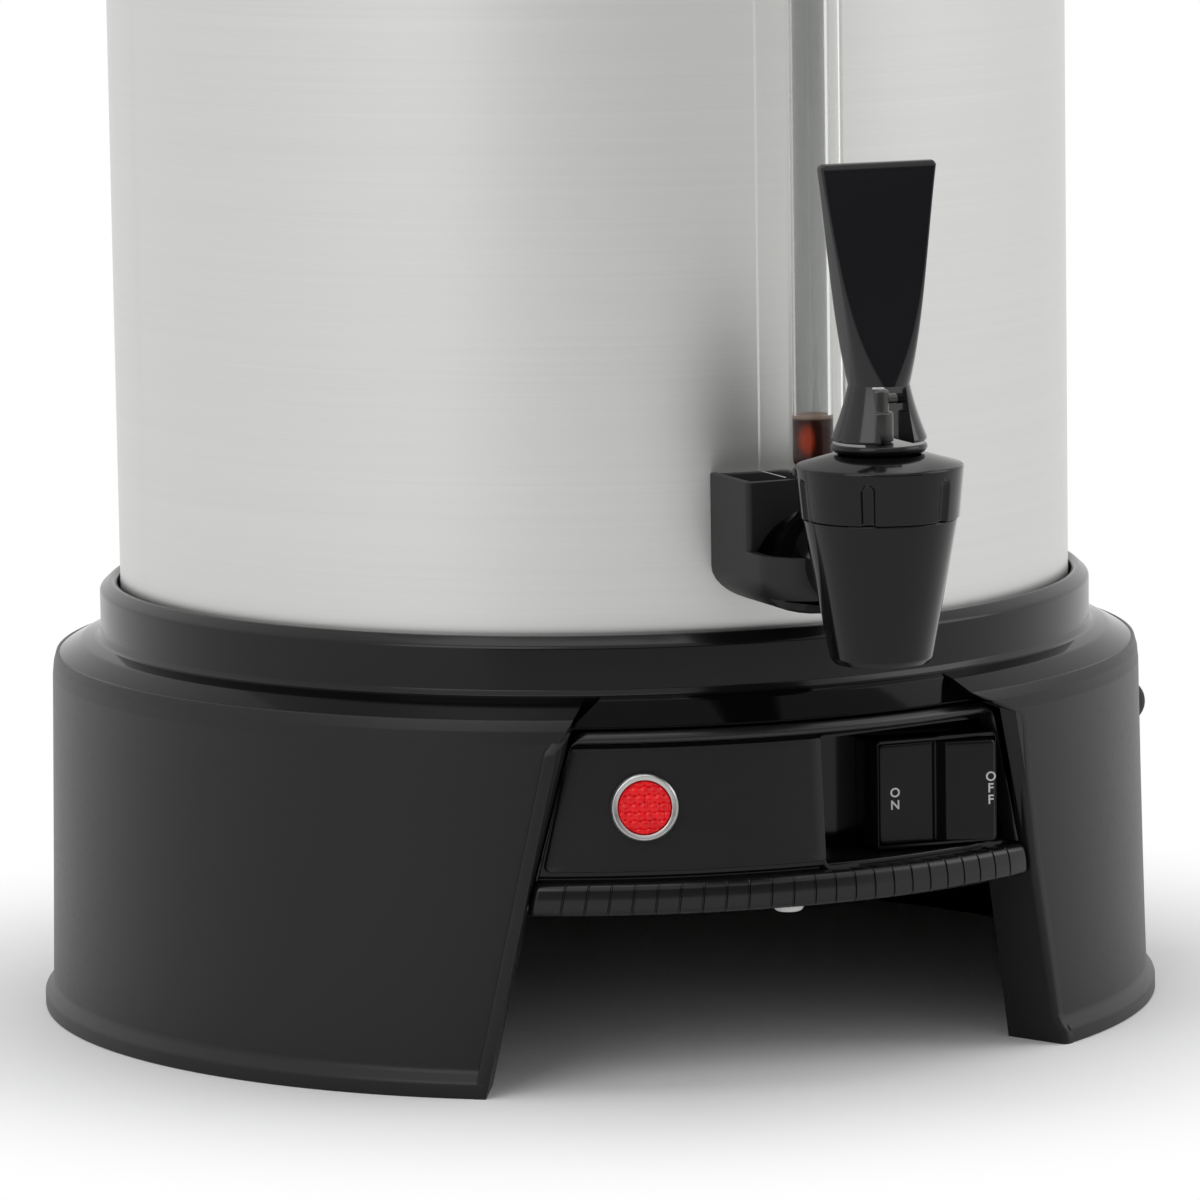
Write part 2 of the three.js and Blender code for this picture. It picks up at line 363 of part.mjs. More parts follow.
// Control panel.
const slope = (PANEL_LOW_R - PANEL_TOP_R) / (PANEL_TOP_Z - PANEL_LOW_Z);
const panelR = (z) => PANEL_TOP_R + (PANEL_TOP_Z - z) * slope;
const panelTurn = turned([
  [PANEL_TOP_R - PANEL_WALL, BROW_TOP_Z], [BROW_TOP_R, BROW_TOP_Z], [BROW_R, BROW_LOW_Z],
  [PANEL_TOP_R, PANEL_TOP_Z], [PANEL_LOW_R, PANEL_LOW_Z], [APRON_OUT_R, PANEL_LOW_Z],
  [APRON_OUT_R, APRON_LOW_Z], [LIP_IN_R, APRON_LOW_Z], [LIP_IN_R, APRON_LOW_Z + LIP_THICK],
  [APRON_OUT_R - PANEL_WALL, APRON_LOW_Z + LIP_THICK], [APRON_OUT_R - PANEL_WALL, PANEL_LOW_Z],
], FINE_FACETS);
const frameTurn = turned([
  [PANEL_TOP_R - PANEL_WALL, BROW_TOP_Z], [BROW_TOP_R, BROW_TOP_Z], [BROW_R, BROW_LOW_Z],
  [FRAME_LOW_R, PANEL_LOW_Z], [PANEL_LOW_R - PANEL_WALL, PANEL_LOW_Z],
], FINE_FACETS);
const inner = splayed(openingOutline(-GAP)), inset = splayed(openingOutline(-GAP - FRAME_WIDTH));
const belowBrow = ringOf(OPEN_NEAR, OPEN_FAR, -CUT_PAST, BROW_LOW_Z);
const frameRim = frameTurn.intersect(inner).subtract(inset.intersect(belowBrow));
let panel = panelTurn.intersect(inner).add(frameRim);
// The pocket of the switch runs straight back; its right side follows the frame.
const halfAt = (z) => OPEN_TOP_HALF + ((OPEN_TOP_Z - z) / OPEN_TOP_Z) * (OPEN_FOOT_HALF - OPEN_TOP_HALF);
const pocketRight = (z) => halfAt(z) - GAP - FRAME_WIDTH
  - (SPLAY_REF - Math.sqrt(panelR(z) ** 2 - POCKET_REACH ** 2)) * SPLAY_SHARE;
const pocketOutline = (grow) => [
  [POCKET_LEFT_X - grow, POCKET_FLOOR_Z - grow],
  [pocketRight(POCKET_FLOOR_Z) + grow, POCKET_FLOOR_Z - grow],
  [pocketRight(POCKET_TOP_Z) + grow, POCKET_TOP_Z + grow], [POCKET_LEFT_X - grow, POCKET_TOP_Z + grow],
];
const pocketBlock = (grow, near) => prism(pocketOutline(grow), -OPEN_FAR, -near, "y");
const underPanel = turned([
  [0, PANEL_LOW_Z - POCKET_WALL], [APRON_OUT_R, PANEL_LOW_Z - POCKET_WALL], [APRON_OUT_R, PANEL_LOW_Z],
  [PANEL_LOW_R - PANEL_WALL / 2, PANEL_LOW_Z], [PANEL_TOP_R - PANEL_WALL / 2, PANEL_TOP_Z],
  [PANEL_TOP_R - PANEL_WALL / 2, BROW_TOP_Z], [0, BROW_TOP_Z],
], FINE_FACETS);
panel = panel.add(pocketBlock(POCKET_WALL, POCKET_BACK - POCKET_WALL).intersect(underPanel));
panel = panel.subtract(pocketBlock(0, POCKET_BACK));
const switchBox = (grow) => rectangle(SWITCH_X - SWITCH_BODY_HALF_W - grow,
  SWITCH_Z - SWITCH_BODY_HALF_H - grow, SWITCH_X + SWITCH_BODY_HALF_W + grow,
  SWITCH_Z + SWITCH_BODY_HALF_H + grow);
panel = panel.subtract(prism(switchBox(GAP), -POCKET_BACK - CUT_PAST, -OPEN_NEAR, "y"));

// Things that sit on the leaning panel are made facing forward, then leaned and swung into place.
const lean = THREE.MathUtils.radToDeg(Math.atan(slope));
const onPanel = (solid, angle, z) =>
  solid.rotate([-lean, 0, 0]).translate([0, -panelR(z), z]).rotate([0, 0, angle]);
const lampHole = onPanel(forward(turned([[0, -LAMP_BODY_LONG], [LAMP_BODY_R + GAP, -LAMP_BODY_LONG],
  [LAMP_BODY_R + GAP, LAMP_BODY_LONG], [0, LAMP_BODY_LONG]], SMALL_FACETS)), LAMP_ANGLE, LAMP_Z);
panel = panel.subtract(lampHole);
panel = panel.subtract(rod(0, -CLIP_OUT, CLIP_SHANK_R + RUNNING_GAP, APRON_LOW_Z - CUT_PAST,
  APRON_LOW_Z + CUT_PAST + LIP_THICK, "z", TINY_FACETS));
piece("control_panel", panel, "gloss");

const plateTurn = turned([
  [panelR(PLATE_TOP_Z) + PLATE_GAP, PLATE_TOP_Z],
  [panelR(PLATE_TOP_Z) + PLATE_GAP + PLATE_THICK, PLATE_TOP_Z],
  [panelR(PLATE_LOW_Z) + PLATE_GAP + PLATE_THICK, PLATE_LOW_Z],
  [panelR(PLATE_LOW_Z) + PLATE_GAP, PLATE_LOW_Z],
], FINE_FACETS);
const plateRight = prism(rectangle(-OPEN_FAR, -CUT_PAST, POCKET_LEFT_X - GAP, OPEN_CEIL_Z), -OPEN_FAR,
  -OPEN_NEAR, "y");
const plateZone = splayed(openingOutline(-GAP - FRAME_WIDTH - GAP)).intersect(plateRight);
piece("blank_plate", plateTurn.intersect(plateZone).subtract(lampHole), "black");

// Pilot lamp.
const lampFoot = PLATE_GAP + PLATE_THICK + GAP;
piece("lamp_bezel", onPanel(forward(turned([
  [LAMP_R - LAMP_RING, lampFoot], [LAMP_R, lampFoot], [LAMP_R, lampFoot + LAMP_PROUD / 2],
  [LAMP_R - LAMP_RING / 2, lampFoot + LAMP_PROUD], [LAMP_R - LAMP_RING, lampFoot + LAMP_PROUD / 2],
], MID_FACETS)), LAMP_ANGLE, LAMP_Z), "steel");
const lensR = LAMP_R - LAMP_RING - 2 * RUNNING_GAP;
piece("lamp_lens", onPanel(forward(turned([
  [0, lampFoot], [lensR, lampFoot], [lensR, lampFoot + LAMP_FLANGE],
  [lensR / 2, lampFoot + LAMP_FLANGE + LAMP_DOME / 2],
  [0, lampFoot + LAMP_DOME + LAMP_FLANGE / 2],
], SMALL_FACETS)), LAMP_ANGLE, LAMP_Z), "red");
piece("lamp_body", onPanel(forward(turned([
  [0, -LAMP_BODY_LONG], [LAMP_BODY_R / 2, -LAMP_BODY_LONG], [LAMP_BODY_R, -LAMP_BODY_LONG + LAMP_BODY_R],
  [LAMP_BODY_R, lampFoot], [0, lampFoot],
], SMALL_FACETS)), LAMP_ANGLE, LAMP_Z), "white");

// Rocker switch.
const housingX = [SWITCH_X - SWITCH_HALF_W, SWITCH_X + SWITCH_HALF_W];
const housingZ = [SWITCH_Z - SWITCH_HALF_H, SWITCH_Z + SWITCH_HALF_H];
let housing = prism(rectangle(housingX[0], housingZ[0], housingX[1], housingZ[1], SWITCH_LIP, 2),
  -SWITCH_FACE, -POCKET_BACK - GAP, "y")
  .add(prism(switchBox(0), -POCKET_BACK - CUT_PAST, -SWITCH_BODY_BACK, "y"));
const windowHalf = ROCKER_END_R + GAP;
housing = housing.subtract(prism(rectangle(SWITCH_X - windowHalf, SWITCH_Z - ROCKER_HALF_H - GAP,
  SWITCH_X + windowHalf, SWITCH_Z + ROCKER_HALF_H + GAP), -SWITCH_FACE - CUT_PAST, -SWITCH_CAVITY, "y"));
const trunnionHigh = ROCKER_HALF_H + TRUNNION_LONG;
housing = housing.subtract(rod(SWITCH_X, -ROCKER_PIVOT, TRUNNION_R + RUNNING_GAP,
  SWITCH_Z - trunnionHigh - RUNNING_GAP, SWITCH_Z + trunnionHigh + RUNNING_GAP, "z", TINY_FACETS));
for (const side of [-1, 1]) {
  const at = SWITCH_X + side * BLADE_PITCH;
  housing = housing.add(prism(rectangle(at - BLADE_HALF_T, SWITCH_Z - BLADE_HALF_W, at + BLADE_HALF_T,
    SWITCH_Z + BLADE_HALF_W), -SWITCH_BODY_BACK - CUT_PAST, -SWITCH_BODY_BACK + BLADE_LONG, "y"));
}
piece("switch_housing", housing, "gloss");
// The rocker is a dished bar on two trunnions, its round ends running past the window.
const rise = ROCKER_DISH + ROCKER_RISE;
const riseEnd = -rise - (CUT_PAST * ROCKER_RISE) / ROCKER_END_R;
const rockerPlan = [
  [ROCKER_END_R, ROCKER_BACK], [ROCKER_END_R + CUT_PAST, riseEnd], [0, -ROCKER_DISH],
  [-ROCKER_END_R - CUT_PAST, riseEnd], [-ROCKER_END_R, ROCKER_BACK],
];
const rocker = prism(rockerPlan, SWITCH_Z - ROCKER_HALF_H, SWITCH_Z + ROCKER_HALF_H, "z")
  .intersect(rod(0, 0, ROCKER_END_R, 0, OPEN_FAR, "z", BIG_FACETS))
  .add(rod(0, 0, TRUNNION_R, SWITCH_Z - trunnionHigh, SWITCH_Z + trunnionHigh, "z", TINY_FACETS));
piece("rocker", rocker.rotate([0, 0, -ROCKER_LEAN]).translate([SWITCH_X, -ROCKER_PIVOT, 0]), "black");

// Bumper ledge.
let ledge = turned([
  [LEDGE_IN_R, LEDGE_LOW_Z], [LEDGE_R - LEDGE_ROUND, LEDGE_LOW_Z],
  [LEDGE_R - LEDGE_SMALL_ROUND, LEDGE_LOW_Z + LEDGE_ROUND / 2],
  [LEDGE_R, (LEDGE_LOW_Z + LEDGE_TOP_Z) / 2], [LEDGE_R - LEDGE_SMALL_ROUND, LEDGE_TOP_Z - LEDGE_ROUND],
  [LEDGE_R - LEDGE_ROUND, LEDGE_TOP_Z], [LEDGE_IN_R, LEDGE_TOP_Z],
], FINE_FACETS).intersect(inner);
for (let i = 0; i < GROOVE_COUNT; i++) {
  const angle = (i - (GROOVE_COUNT - 1) / 2) * GROOVE_STEP;
  const groove = rectangle(-GROOVE_HALF, LEDGE_LOW_Z - CUT_PAST, GROOVE_HALF, LEDGE_TOP_Z + CUT_PAST);
  ledge = ledge.subtract(prism(groove, -LEDGE_R - CUT_PAST, -LEDGE_R + GROOVE_DEPTH, "y")
    .rotate([0, 0, angle]));
}
piece("bumper_ledge", ledge, "gloss");

// Bottom pan, clip, stud and nut.
let pan = turned([
  [0, PAN_Z], [PAN_R, PAN_Z], [PAN_R, PAN_Z + PAN_RIM], [PAN_R - PAN_THICK, PAN_Z + PAN_RIM],
  [PAN_R - PAN_THICK, PAN_Z + PAN_THICK], [0, PAN_Z + PAN_THICK],
], BIG_FACETS);
const wide = splayed(openingOutline(RETURN_WALL + 2 * GAP)), panTop = PAN_Z + PAN_RIM + CUT_PAST;
pan = pan.subtract(wide.intersect(ringOf(PAN_FRONT_R, OPEN_FAR, PAN_Z - CUT_PAST, panTop)));
pan = pan.subtract(wide.subtract(splayed(openingOutline(-2 * RETURN_WALL)))
  .intersect(ringOf(PAN_RETURN_R, OPEN_FAR, PAN_Z - CUT_PAST, panTop)));
pan = pan.subtract(rod(0, 0, STUD_R + GAP, PAN_Z - CUT_PAST, panTop, "z"));
pan = pan.subtract(rod(0, -CLIP_OUT, CLIP_SHANK_R + RUNNING_GAP, PAN_Z - CUT_PAST, panTop, "z",
  TINY_FACETS));
const vent = prism(rectangle(VENT_R, -VENT_HALF_W, VENT_R + VENT_LONG, VENT_HALF_W), PAN_Z - CUT_PAST,
  panTop, "z");
for (let i = 0; i < VENT_COUNT; i++)
  pan = pan.subtract(vent.rotate([0, 0, ((i + 0.5) * 360) / VENT_COUNT]));
piece("bottom_pan", pan, "steel");
piece("panel_clip", turned([
  [0, PAN_Z - CLIP_HEAD], [CLIP_R / 2, PAN_Z - CLIP_HEAD], [CLIP_R, PAN_Z - CLIP_HEAD / 2],
  [CLIP_R, PAN_Z],
  [CLIP_SHANK_R, PAN_Z], [CLIP_SHANK_R, APRON_LOW_Z + LIP_THICK + CLIP_HEAD],
  [0, APRON_LOW_Z + LIP_THICK + CLIP_HEAD + CLIP_SHANK_R],
], TINY_FACETS).translate([0, -CLIP_OUT, 0]), "white");
const nutTop = PAN_Z, nutLow = PAN_Z - NUT_THICK;
piece("center_stud", rod(0, 0, STUD_R, nutLow - STUD_PAST, wellZ - BREW_PLATE, "z", TINY_FACETS),
  "steel");
piece("stud_nut", prism(circle(0, 0, NUT_R, HEX), nutLow, nutTop, "z",
  [circle(0, 0, STUD_R + RUNNING_GAP, TINY_FACETS)]), "steel");

// Heaters and controls.
piece("brew_heater", turned([
  [0, wellZ - BREW_PLATE], [BREW_R - BREW_PLATE, wellZ - BREW_PLATE], [BREW_R, wellZ],
  [BREW_R, wellZ + BREW_TALL],
  [WELL_R + 2 * GAP, wellZ + BREW_TALL], [WELL_R + 2 * GAP, wellZ + WELL_CORNER - GAP],
  [WELL_R - WELL_CORNER + GAP, wellZ - GAP], [0, wellZ - GAP],
], MID_FACETS), "aluminium");
piece("warm_heater", turned([
  [WARM_IN_R, TANK_FLOOR_Z - WARM_TALL], [WARM_R, TANK_FLOOR_Z - WARM_TALL], [WARM_R, TANK_FLOOR_Z - GAP],
  [WARM_IN_R, TANK_FLOOR_Z - GAP],
], MID_FACETS), "steel");
const control = (radius, tall) => turned([
  [0, -tall], [THERMO_PIN_R, -tall], [THERMO_PIN_R, -tall + THERMO_PIN_LONG],
  [radius, -tall + THERMO_PIN_LONG], [radius, -GAP], [0, -GAP],
], SMALL_FACETS).translate([0, 0, TANK_FLOOR_Z]);
const controlAt = (WARM_R + SEAT_IN_R) / 2;
piece("thermostat", control(THERMO_R, THERMO_TALL + THERMO_PIN_LONG)
  .translate([THERMO_X, controlAt / 2 + THERMO_X / 2, 0]), "brown");
piece("limit_switch", control(LIMIT_R, LIMIT_TALL + THERMO_PIN_LONG)
  .translate([-THERMO_X, controlAt / 2 + THERMO_X / 2, 0]), "brown");

// Cord gland on the right.
const domeStep = (share) => [GLAND_R * Math.cos((share * Math.PI) / 2),
  GLAND_DOME_X + GLAND_R * Math.sin((share * Math.PI) / 2)];
const boreShare = 1 - (Math.asin(GLAND_BORE_R / GLAND_R) * 2) / Math.PI;
const glandProfile = [
  [GLAND_BORE_R, GLAND_END_X], [GLAND_NECK_R, GLAND_END_X], [GLAND_NECK_R, GLAND_BACK_X],
  [GLAND_R, GLAND_BACK_X],
  ...GLAND_SHARES.map(domeStep), domeStep(boreShare),
];
piece("cord_gland", sideways(turned(glandProfile, SMALL_FACETS)).translate([0, 0, GLAND_Z]), "rubber");
piece("gland_nut", sideways(turned([
  [GLAND_NECK_R + RUNNING_GAP, GLAND_NUT_X], [GLAND_NUT_R, GLAND_NUT_X],
  [GLAND_NUT_R, GLAND_NUT_X + GLAND_NUT_THICK],
  [GLAND_NECK_R + RUNNING_GAP, GLAND_NUT_X + GLAND_NUT_THICK],
], SMALL_FACETS)).translate([0, 0, GLAND_Z]), "black");

// Shank through the tank wall.
piece("faucet_shank", forward(turned([
  [SHANK_BORE_R, SHANK_BACK], [SHANK_R, SHANK_BACK], [SHANK_R, COUPLING_BACK],
  [COUPLING_R, COUPLING_BACK],
  [COUPLING_R, COUPLING_FRONT], [SHANK_R, COUPLING_FRONT], [SHANK_R, SHANK_FRONT],
  [SHANK_BORE_R, SHANK_FRONT],
], SMALL_FACETS)).translate([0, 0, SHANK_Z]).subtract(rod(0, -GAUGE_OUT, GAUGE_SEAT_R + GAP, SHANK_Z,
  SHANK_Z + COUPLING_R + CUT_PAST, "z")), "steel");
const tankFlatIn = Math.sqrt(inR ** 2 - WASHER_R ** 2);
piece("shank_washer", forward(tube(WASHER_R, SHANK_R + RUNNING_GAP, tankFlatIn - WASHER_THICK - GAP,
  tankFlatIn - GAP, SMALL_FACETS)).translate([0, 0, SHANK_Z]), "rubber");
const shankNutFront = tankFlatIn - WASHER_THICK - GAP;
piece("shank_nut", prism(circle(0, SHANK_Z, SHANK_NUT_R, HEX), -shankNutFront,
  -(shankNutFront - SHANK_NUT_THICK), "y",
  [circle(0, SHANK_Z, SHANK_R + RUNNING_GAP, SMALL_FACETS)]), "steel");

// Gauge bracket.
const tankSolid = (grow) => rod(0, 0, TANK_R + grow, 0, TANK_TOP_Z, "z", BIG_FACETS);
const bracketBack = TANK_R / 2;
// Its outline from the front, straight down to half an oval, drawn in by the wall for the hollow.
const bracketFrontal = (inset, top) => {
  const half = BRACKET_HALF_W - inset, outline = [[half, top], [-half, top]];
  for (let i = 0; i <= SMALL_FACETS; i++) {
    const angle = (i / SMALL_FACETS) * Math.PI;
    outline.push([-half * Math.cos(angle), BRACKET_MID_Z - (BRACKET_OVAL - inset) * Math.sin(angle)]);
  }
  return outline.reverse();
};
// Its outline from above, as far forward as the nose.
const nosePlan = (inset) => rectangle(-BRACKET_HALF_W + inset, -NOSE_FRONT + inset,
  BRACKET_HALF_W - inset, -bracketBack + NOSE_ROUND, NOSE_ROUND - inset, 6);
const noseSolid = (inset, top) => prism(bracketFrontal(inset, top), -NOSE_FRONT, -bracketBack, "y")
  .intersect(prism(nosePlan(inset), 0, TANK_TOP_Z, "z"));
let bracket = noseSolid(0, BRACKET_JOIN_Z)
  .add(prism(bracketFrontal(0, BRACKET_TOP_Z), -BRACKET_FRONT, -bracketBack, "y"))
  .subtract(tankSolid(BRACKET_OFF));
// The hollow behind the front wall, the arch in that wall, the shank's hole, and the slot underneath.
bracket = bracket.subtract(noseSolid(BRACKET_WALL, BRACKET_JOIN_Z + CUT_PAST)
  .intersect(prism(rectangle(-OPEN_FAR, 0, OPEN_FAR, BRACKET_JOIN_Z), -OPEN_FAR, -bracketBack, "y")));
bracket = bracket.subtract(prism(bracketFrontal(BRACKET_WALL, BRACKET_TOP_Z + CUT_PAST),
  -BRACKET_FRONT + BRACKET_WALL, -bracketBack, "y"));
const archTop = rectangle(-ARCH_R, BRACKET_JOIN_Z, ARCH_R, BRACKET_TOP_Z);
const archRod = rod(0, SHANK_Z - ARCH_DROP, ARCH_R, -BRACKET_FRONT - CUT_PAST, -bracketBack, "y", MID_FACETS);
bracket = bracket.subtract(archRod.intersect(prism(archTop, -OPEN_FAR, -bracketBack, "y")));
bracket = bracket.subtract(rod(0, SHANK_Z, SOCKET_R + GAP, -NOSE_FRONT - CUT_PAST, -BRACKET_FRONT, "y",
  MID_FACETS));
bracket = bracket.subtract(rod(0, -GAUGE_OUT, GAUGE_SEAT_R + GAP, SHANK_Z, BRACKET_TOP_Z + CUT_PAST, "z"));
const slot = rectangle(-SLOT_HALF_W, -SLOT_BACK - SLOT_LONG, SLOT_HALF_W, -SLOT_BACK, SLOT_LONG / 2 - GAP);
bracket = bracket.subtract(prism(slot, 0, SHANK_Z - SHANK_R, "z"));
piece("gauge_bracket", bracket, "black");

// Gauge.
const seatTop = GLASS_LOW_Z - GAP;
piece("gauge_seat", turned([
  [0, GAUGE_SEAT_LOW_Z], [GAUGE_SEAT_R, GAUGE_SEAT_LOW_Z], [GAUGE_SEAT_R, seatTop - GAUGE_COLLAR_THICK],
  [GAUGE_COLLAR_R - GAP, seatTop - GAUGE_COLLAR_THICK],
  [GAUGE_COLLAR_R - GAP, seatTop], [0, seatTop],
], SMALL_FACETS).translate([0, -GAUGE_OUT, 0]), "rubber");
piece("gauge_glass", turned([
  [0, GLASS_LOW_Z], [GLASS_BORE_R, GLASS_LOW_Z + GLASS_R - GLASS_BORE_R],
  [GLASS_R, GLASS_LOW_Z + GLASS_BORE_R],
  [GLASS_R, GLASS_TOP_Z], [GLASS_BORE_R, GLASS_TOP_Z], [GLASS_BORE_R, GLASS_LOW_Z + GLASS_R],
  [GLASS_BORE_R / 2, GLASS_LOW_Z + GLASS_R - GLASS_BORE_R + CUT_PAST / 2],
  [0, GLASS_LOW_Z + GLASS_R - GLASS_BORE_R + CUT_PAST / 2],
], SMALL_FACETS).translate([0, -GAUGE_OUT, 0]), "clear");
const guardOutline = (inset) => rectangle(-GUARD_HALF_W + inset, -GUARD_FRONT + inset,
  GUARD_HALF_W - inset, -GUARD_BACK + GUARD_ROUND, GUARD_ROUND - inset, 4);
const guardBase = BRACKET_TOP_Z + GAP;
const behind = prism(rectangle(-GUARD_HALF_W - CUT_PAST, -GUARD_BACK, GUARD_HALF_W + CUT_PAST,
  -GUARD_BACK + 2 * GUARD_ROUND), 0, TANK_TOP_Z, "z");
const guard = prism(guardOutline(0), guardBase, GUARD_TOP_Z, "z")
  .subtract(prism(guardOutline(GUARD_WALL), 0, TANK_TOP_Z, "z")).subtract(behind)
  .subtract(prism(rectangle(-GUARD_HALF_W + GUARD_WALL, -GUARD_BACK - GUARD_ROUND,
    GUARD_HALF_W - GUARD_WALL, -GUARD_BACK + GUARD_ROUND), 0, TANK_TOP_Z, "z"));
piece("gauge_guard", guard, "clear");
const capOutline = rectangle(-GUARD_HALF_W - CAP_WALL, -GUARD_FRONT - CAP_WALL, GUARD_HALF_W + CAP_WALL,
  -bracketBack, GUARD_ROUND, 3);
const capLow = GUARD_TOP_Z - CAP_TAB_DROP, capHigh = capLow + CAP_TALL;
let cap = prism(capOutline, capLow, capHigh, "z").subtract(tankSolid(BRACKET_OFF));
cap = cap.subtract(prism(rectangle(-GUARD_HALF_W - GAP, -GUARD_FRONT - GAP, GUARD_HALF_W + GAP,
  -GUARD_BACK + GAP), 0, capHigh - CAP_WALL * 2, "z"));
piece("gauge_cap", cap, "black");

// Faucet.
const faucetAt = (solid) => solid.translate([0, -FAUCET_Y, 0]);
let body = turned([
  [SPOUT_R, CONE_LOW_Z], [CONE_LOW_R - CONE_ROUND, CONE_LOW_Z], [CONE_LOW_R, CONE_LOW_Z + CONE_ROUND],
  [CONE_TOP_R, CONE_TOP_Z],
  [NECK_R, CONE_TOP_Z], [NECK_R, NECK_TOP_Z], [CHAMBER_R, NECK_TOP_Z], [CHAMBER_R, SEAT_Z],
  [SPOUT_R, SEAT_Z],
], MID_FACETS);
const socketFront = FAUCET_Y - CHAMBER_R / 2, socketBack = FAUCET_Y - SOCKET_BACK;
const socket = forward(turned([
  [0, socketBack], [SOCKET_R, socketBack], [SOCKET_R, socketFront], [0, socketFront],
], SMALL_FACETS)).translate([0, FAUCET_Y, SHANK_Z]);
body = body.add(socket.subtract(turned([[0, SEAT_Z - CONE_TOP_R], [CHAMBER_R, SEAT_Z - CONE_TOP_R],
  [CHAMBER_R, NECK_TOP_Z], [0, NECK_TOP_Z]], MID_FACETS)));
const shankHole = forward(turned([
  [0, 0], [SHANK_R + GAP, 0], [SHANK_R + GAP, SHANK_FRONT + GAP], [SHANK_BORE_R, SHANK_FRONT + GAP],
  [SHANK_BORE_R, FAUCET_Y], [0, FAUCET_Y],
], SMALL_FACETS)).translate([0, FAUCET_Y, SHANK_Z]);
body = body.subtract(shankHole);
piece("faucet_body", faucetAt(body), "gloss");

let nut = turned([
  [NECK_R + GAP, NUT_LOW_Z], [NUT_LOW_R, NUT_LOW_Z], [NUT_EDGE_R, NUT_EDGE_Z], [NUT_CROWN_R, NUT_CROWN_Z],
  [STEM_R + RUNNING_GAP, NUT_CROWN_Z], [STEM_R + RUNNING_GAP, NUT_CROWN_Z - 2 * NUT_ROOF],
  [NECK_R + GAP, NUT_CROWN_Z - 2 * NUT_ROOF],
], MID_FACETS);
for (let i = 0; i < FLUTE_COUNT; i++) {
  const fluteOutline = [
    [-FLUTE_HALF, NUT_LOW_Z - CUT_PAST], [FLUTE_HALF, NUT_LOW_Z - CUT_PAST], [FLUTE_HALF, FLUTE_TOP_Z],
    [FLUTE_HALF / 2, FLUTE_TOP_Z + FLUTE_HALF], [-FLUTE_HALF / 2, FLUTE_TOP_Z + FLUTE_HALF],
    [-FLUTE_HALF, FLUTE_TOP_Z],
  ];
  const flute = prism(fluteOutline, -NUT_EDGE_R - CUT_PAST, -NUT_LOW_R + FLUTE_DEPTH, "y");
  nut = nut.subtract(flute.rotate([0, 0, FLUTE_TURN + (i * 360) / FLUTE_COUNT]));
}
piece("bonnet_nut", faucetAt(nut), "gloss");
piece("bonnet_ring", faucetAt(turned([
  [STEM_R + RUNNING_GAP, NUT_CROWN_Z], [RING_WAIST_R, NUT_CROWN_Z],
  [RING_R, (NUT_CROWN_Z + RING_TOP_Z) / 2], [RING_R - CONE_ROUND, RING_TOP_Z],
  [STEM_R + RUNNING_GAP, RING_TOP_Z],
], MID_FACETS)), "gloss");

// Valve stem with its flange in the seat cup, and the spring above.
const cupTop = SEAT_Z + CUP_TALL, flangeLow = SEAT_Z + CUP_LIP + CUP_LIP;
const stem = turned([
  [0, flangeLow], [STEM_FLANGE_R, flangeLow], [STEM_FLANGE_R, flangeLow + STEM_FLANGE_THICK],
  [STEM_R, flangeLow + STEM_FLANGE_THICK], [STEM_R, RING_TOP_Z + GAP], [STEM_BLOCK_R, RING_TOP_Z + GAP],
  [STEM_BLOCK_R, STEM_BLOCK_Z], [STEM_NECK_R, STEM_BLOCK_Z], [STEM_NECK_R, STEM_TOP_Z], [0, STEM_TOP_Z],
], SMALL_FACETS).subtract(rod(0, PIN_Z, PIN_R + RUNNING_GAP, -STEM_R * 2, STEM_R * 2, "x", TINY_FACETS));
piece("valve_stem", faucetAt(stem), "steel");
piece("seat_cup", faucetAt(turned([
  [0, SEAT_Z - CUP_LIP], [SPOUT_R - CUP_LIP, SEAT_Z - CUP_LIP],
  [SPOUT_R - CUP_LIP / 2, SEAT_Z + CUP_GAP], [CUP_R, SEAT_Z + CUP_GAP],
  [CUP_R, SEAT_Z + CUP_LIP], [STEM_FLANGE_R + CUP_LIP, cupTop], [STEM_R + CUP_GAP, cupTop],
  [STEM_R + CUP_GAP, flangeLow + STEM_FLANGE_THICK + CUP_GAP],
  [STEM_FLANGE_R + CUP_GAP, flangeLow + STEM_FLANGE_THICK + CUP_GAP],
  [STEM_FLANGE_R + CUP_GAP, flangeLow - CUP_GAP], [0, flangeLow - CUP_GAP],
], SMALL_FACETS)), "rubber");
const springLow = cupTop + SPRING_WIRE_R + CUP_GAP;
const springHigh = NUT_CROWN_Z - 2 * NUT_ROOF - SPRING_WIRE_R - CUP_GAP;
class Coil extends THREE.Curve {
  getPoint(t, target = new THREE.Vector3()) {
    const angle = t * SPRING_TURNS * 2 * Math.PI;
    const meanR = SPRING_R - SPRING_WIRE_R;
    return target.set(meanR * Math.cos(angle), meanR * Math.sin(angle),
      springLow + t * (springHigh - springLow));
  }
}
const wire = new THREE.Shape(circle(0, 0, SPRING_WIRE_R, SPRING_SIDES)
  .map(([a, b]) => new THREE.Vector2(a, b)));
piece("faucet_spring", faucetAt(solidOf(new THREE.ExtrudeGeometry(wire,
  { steps: SPRING_TURNS * SPRING_STEPS, extrudePath: new Coil() }))), "steel");

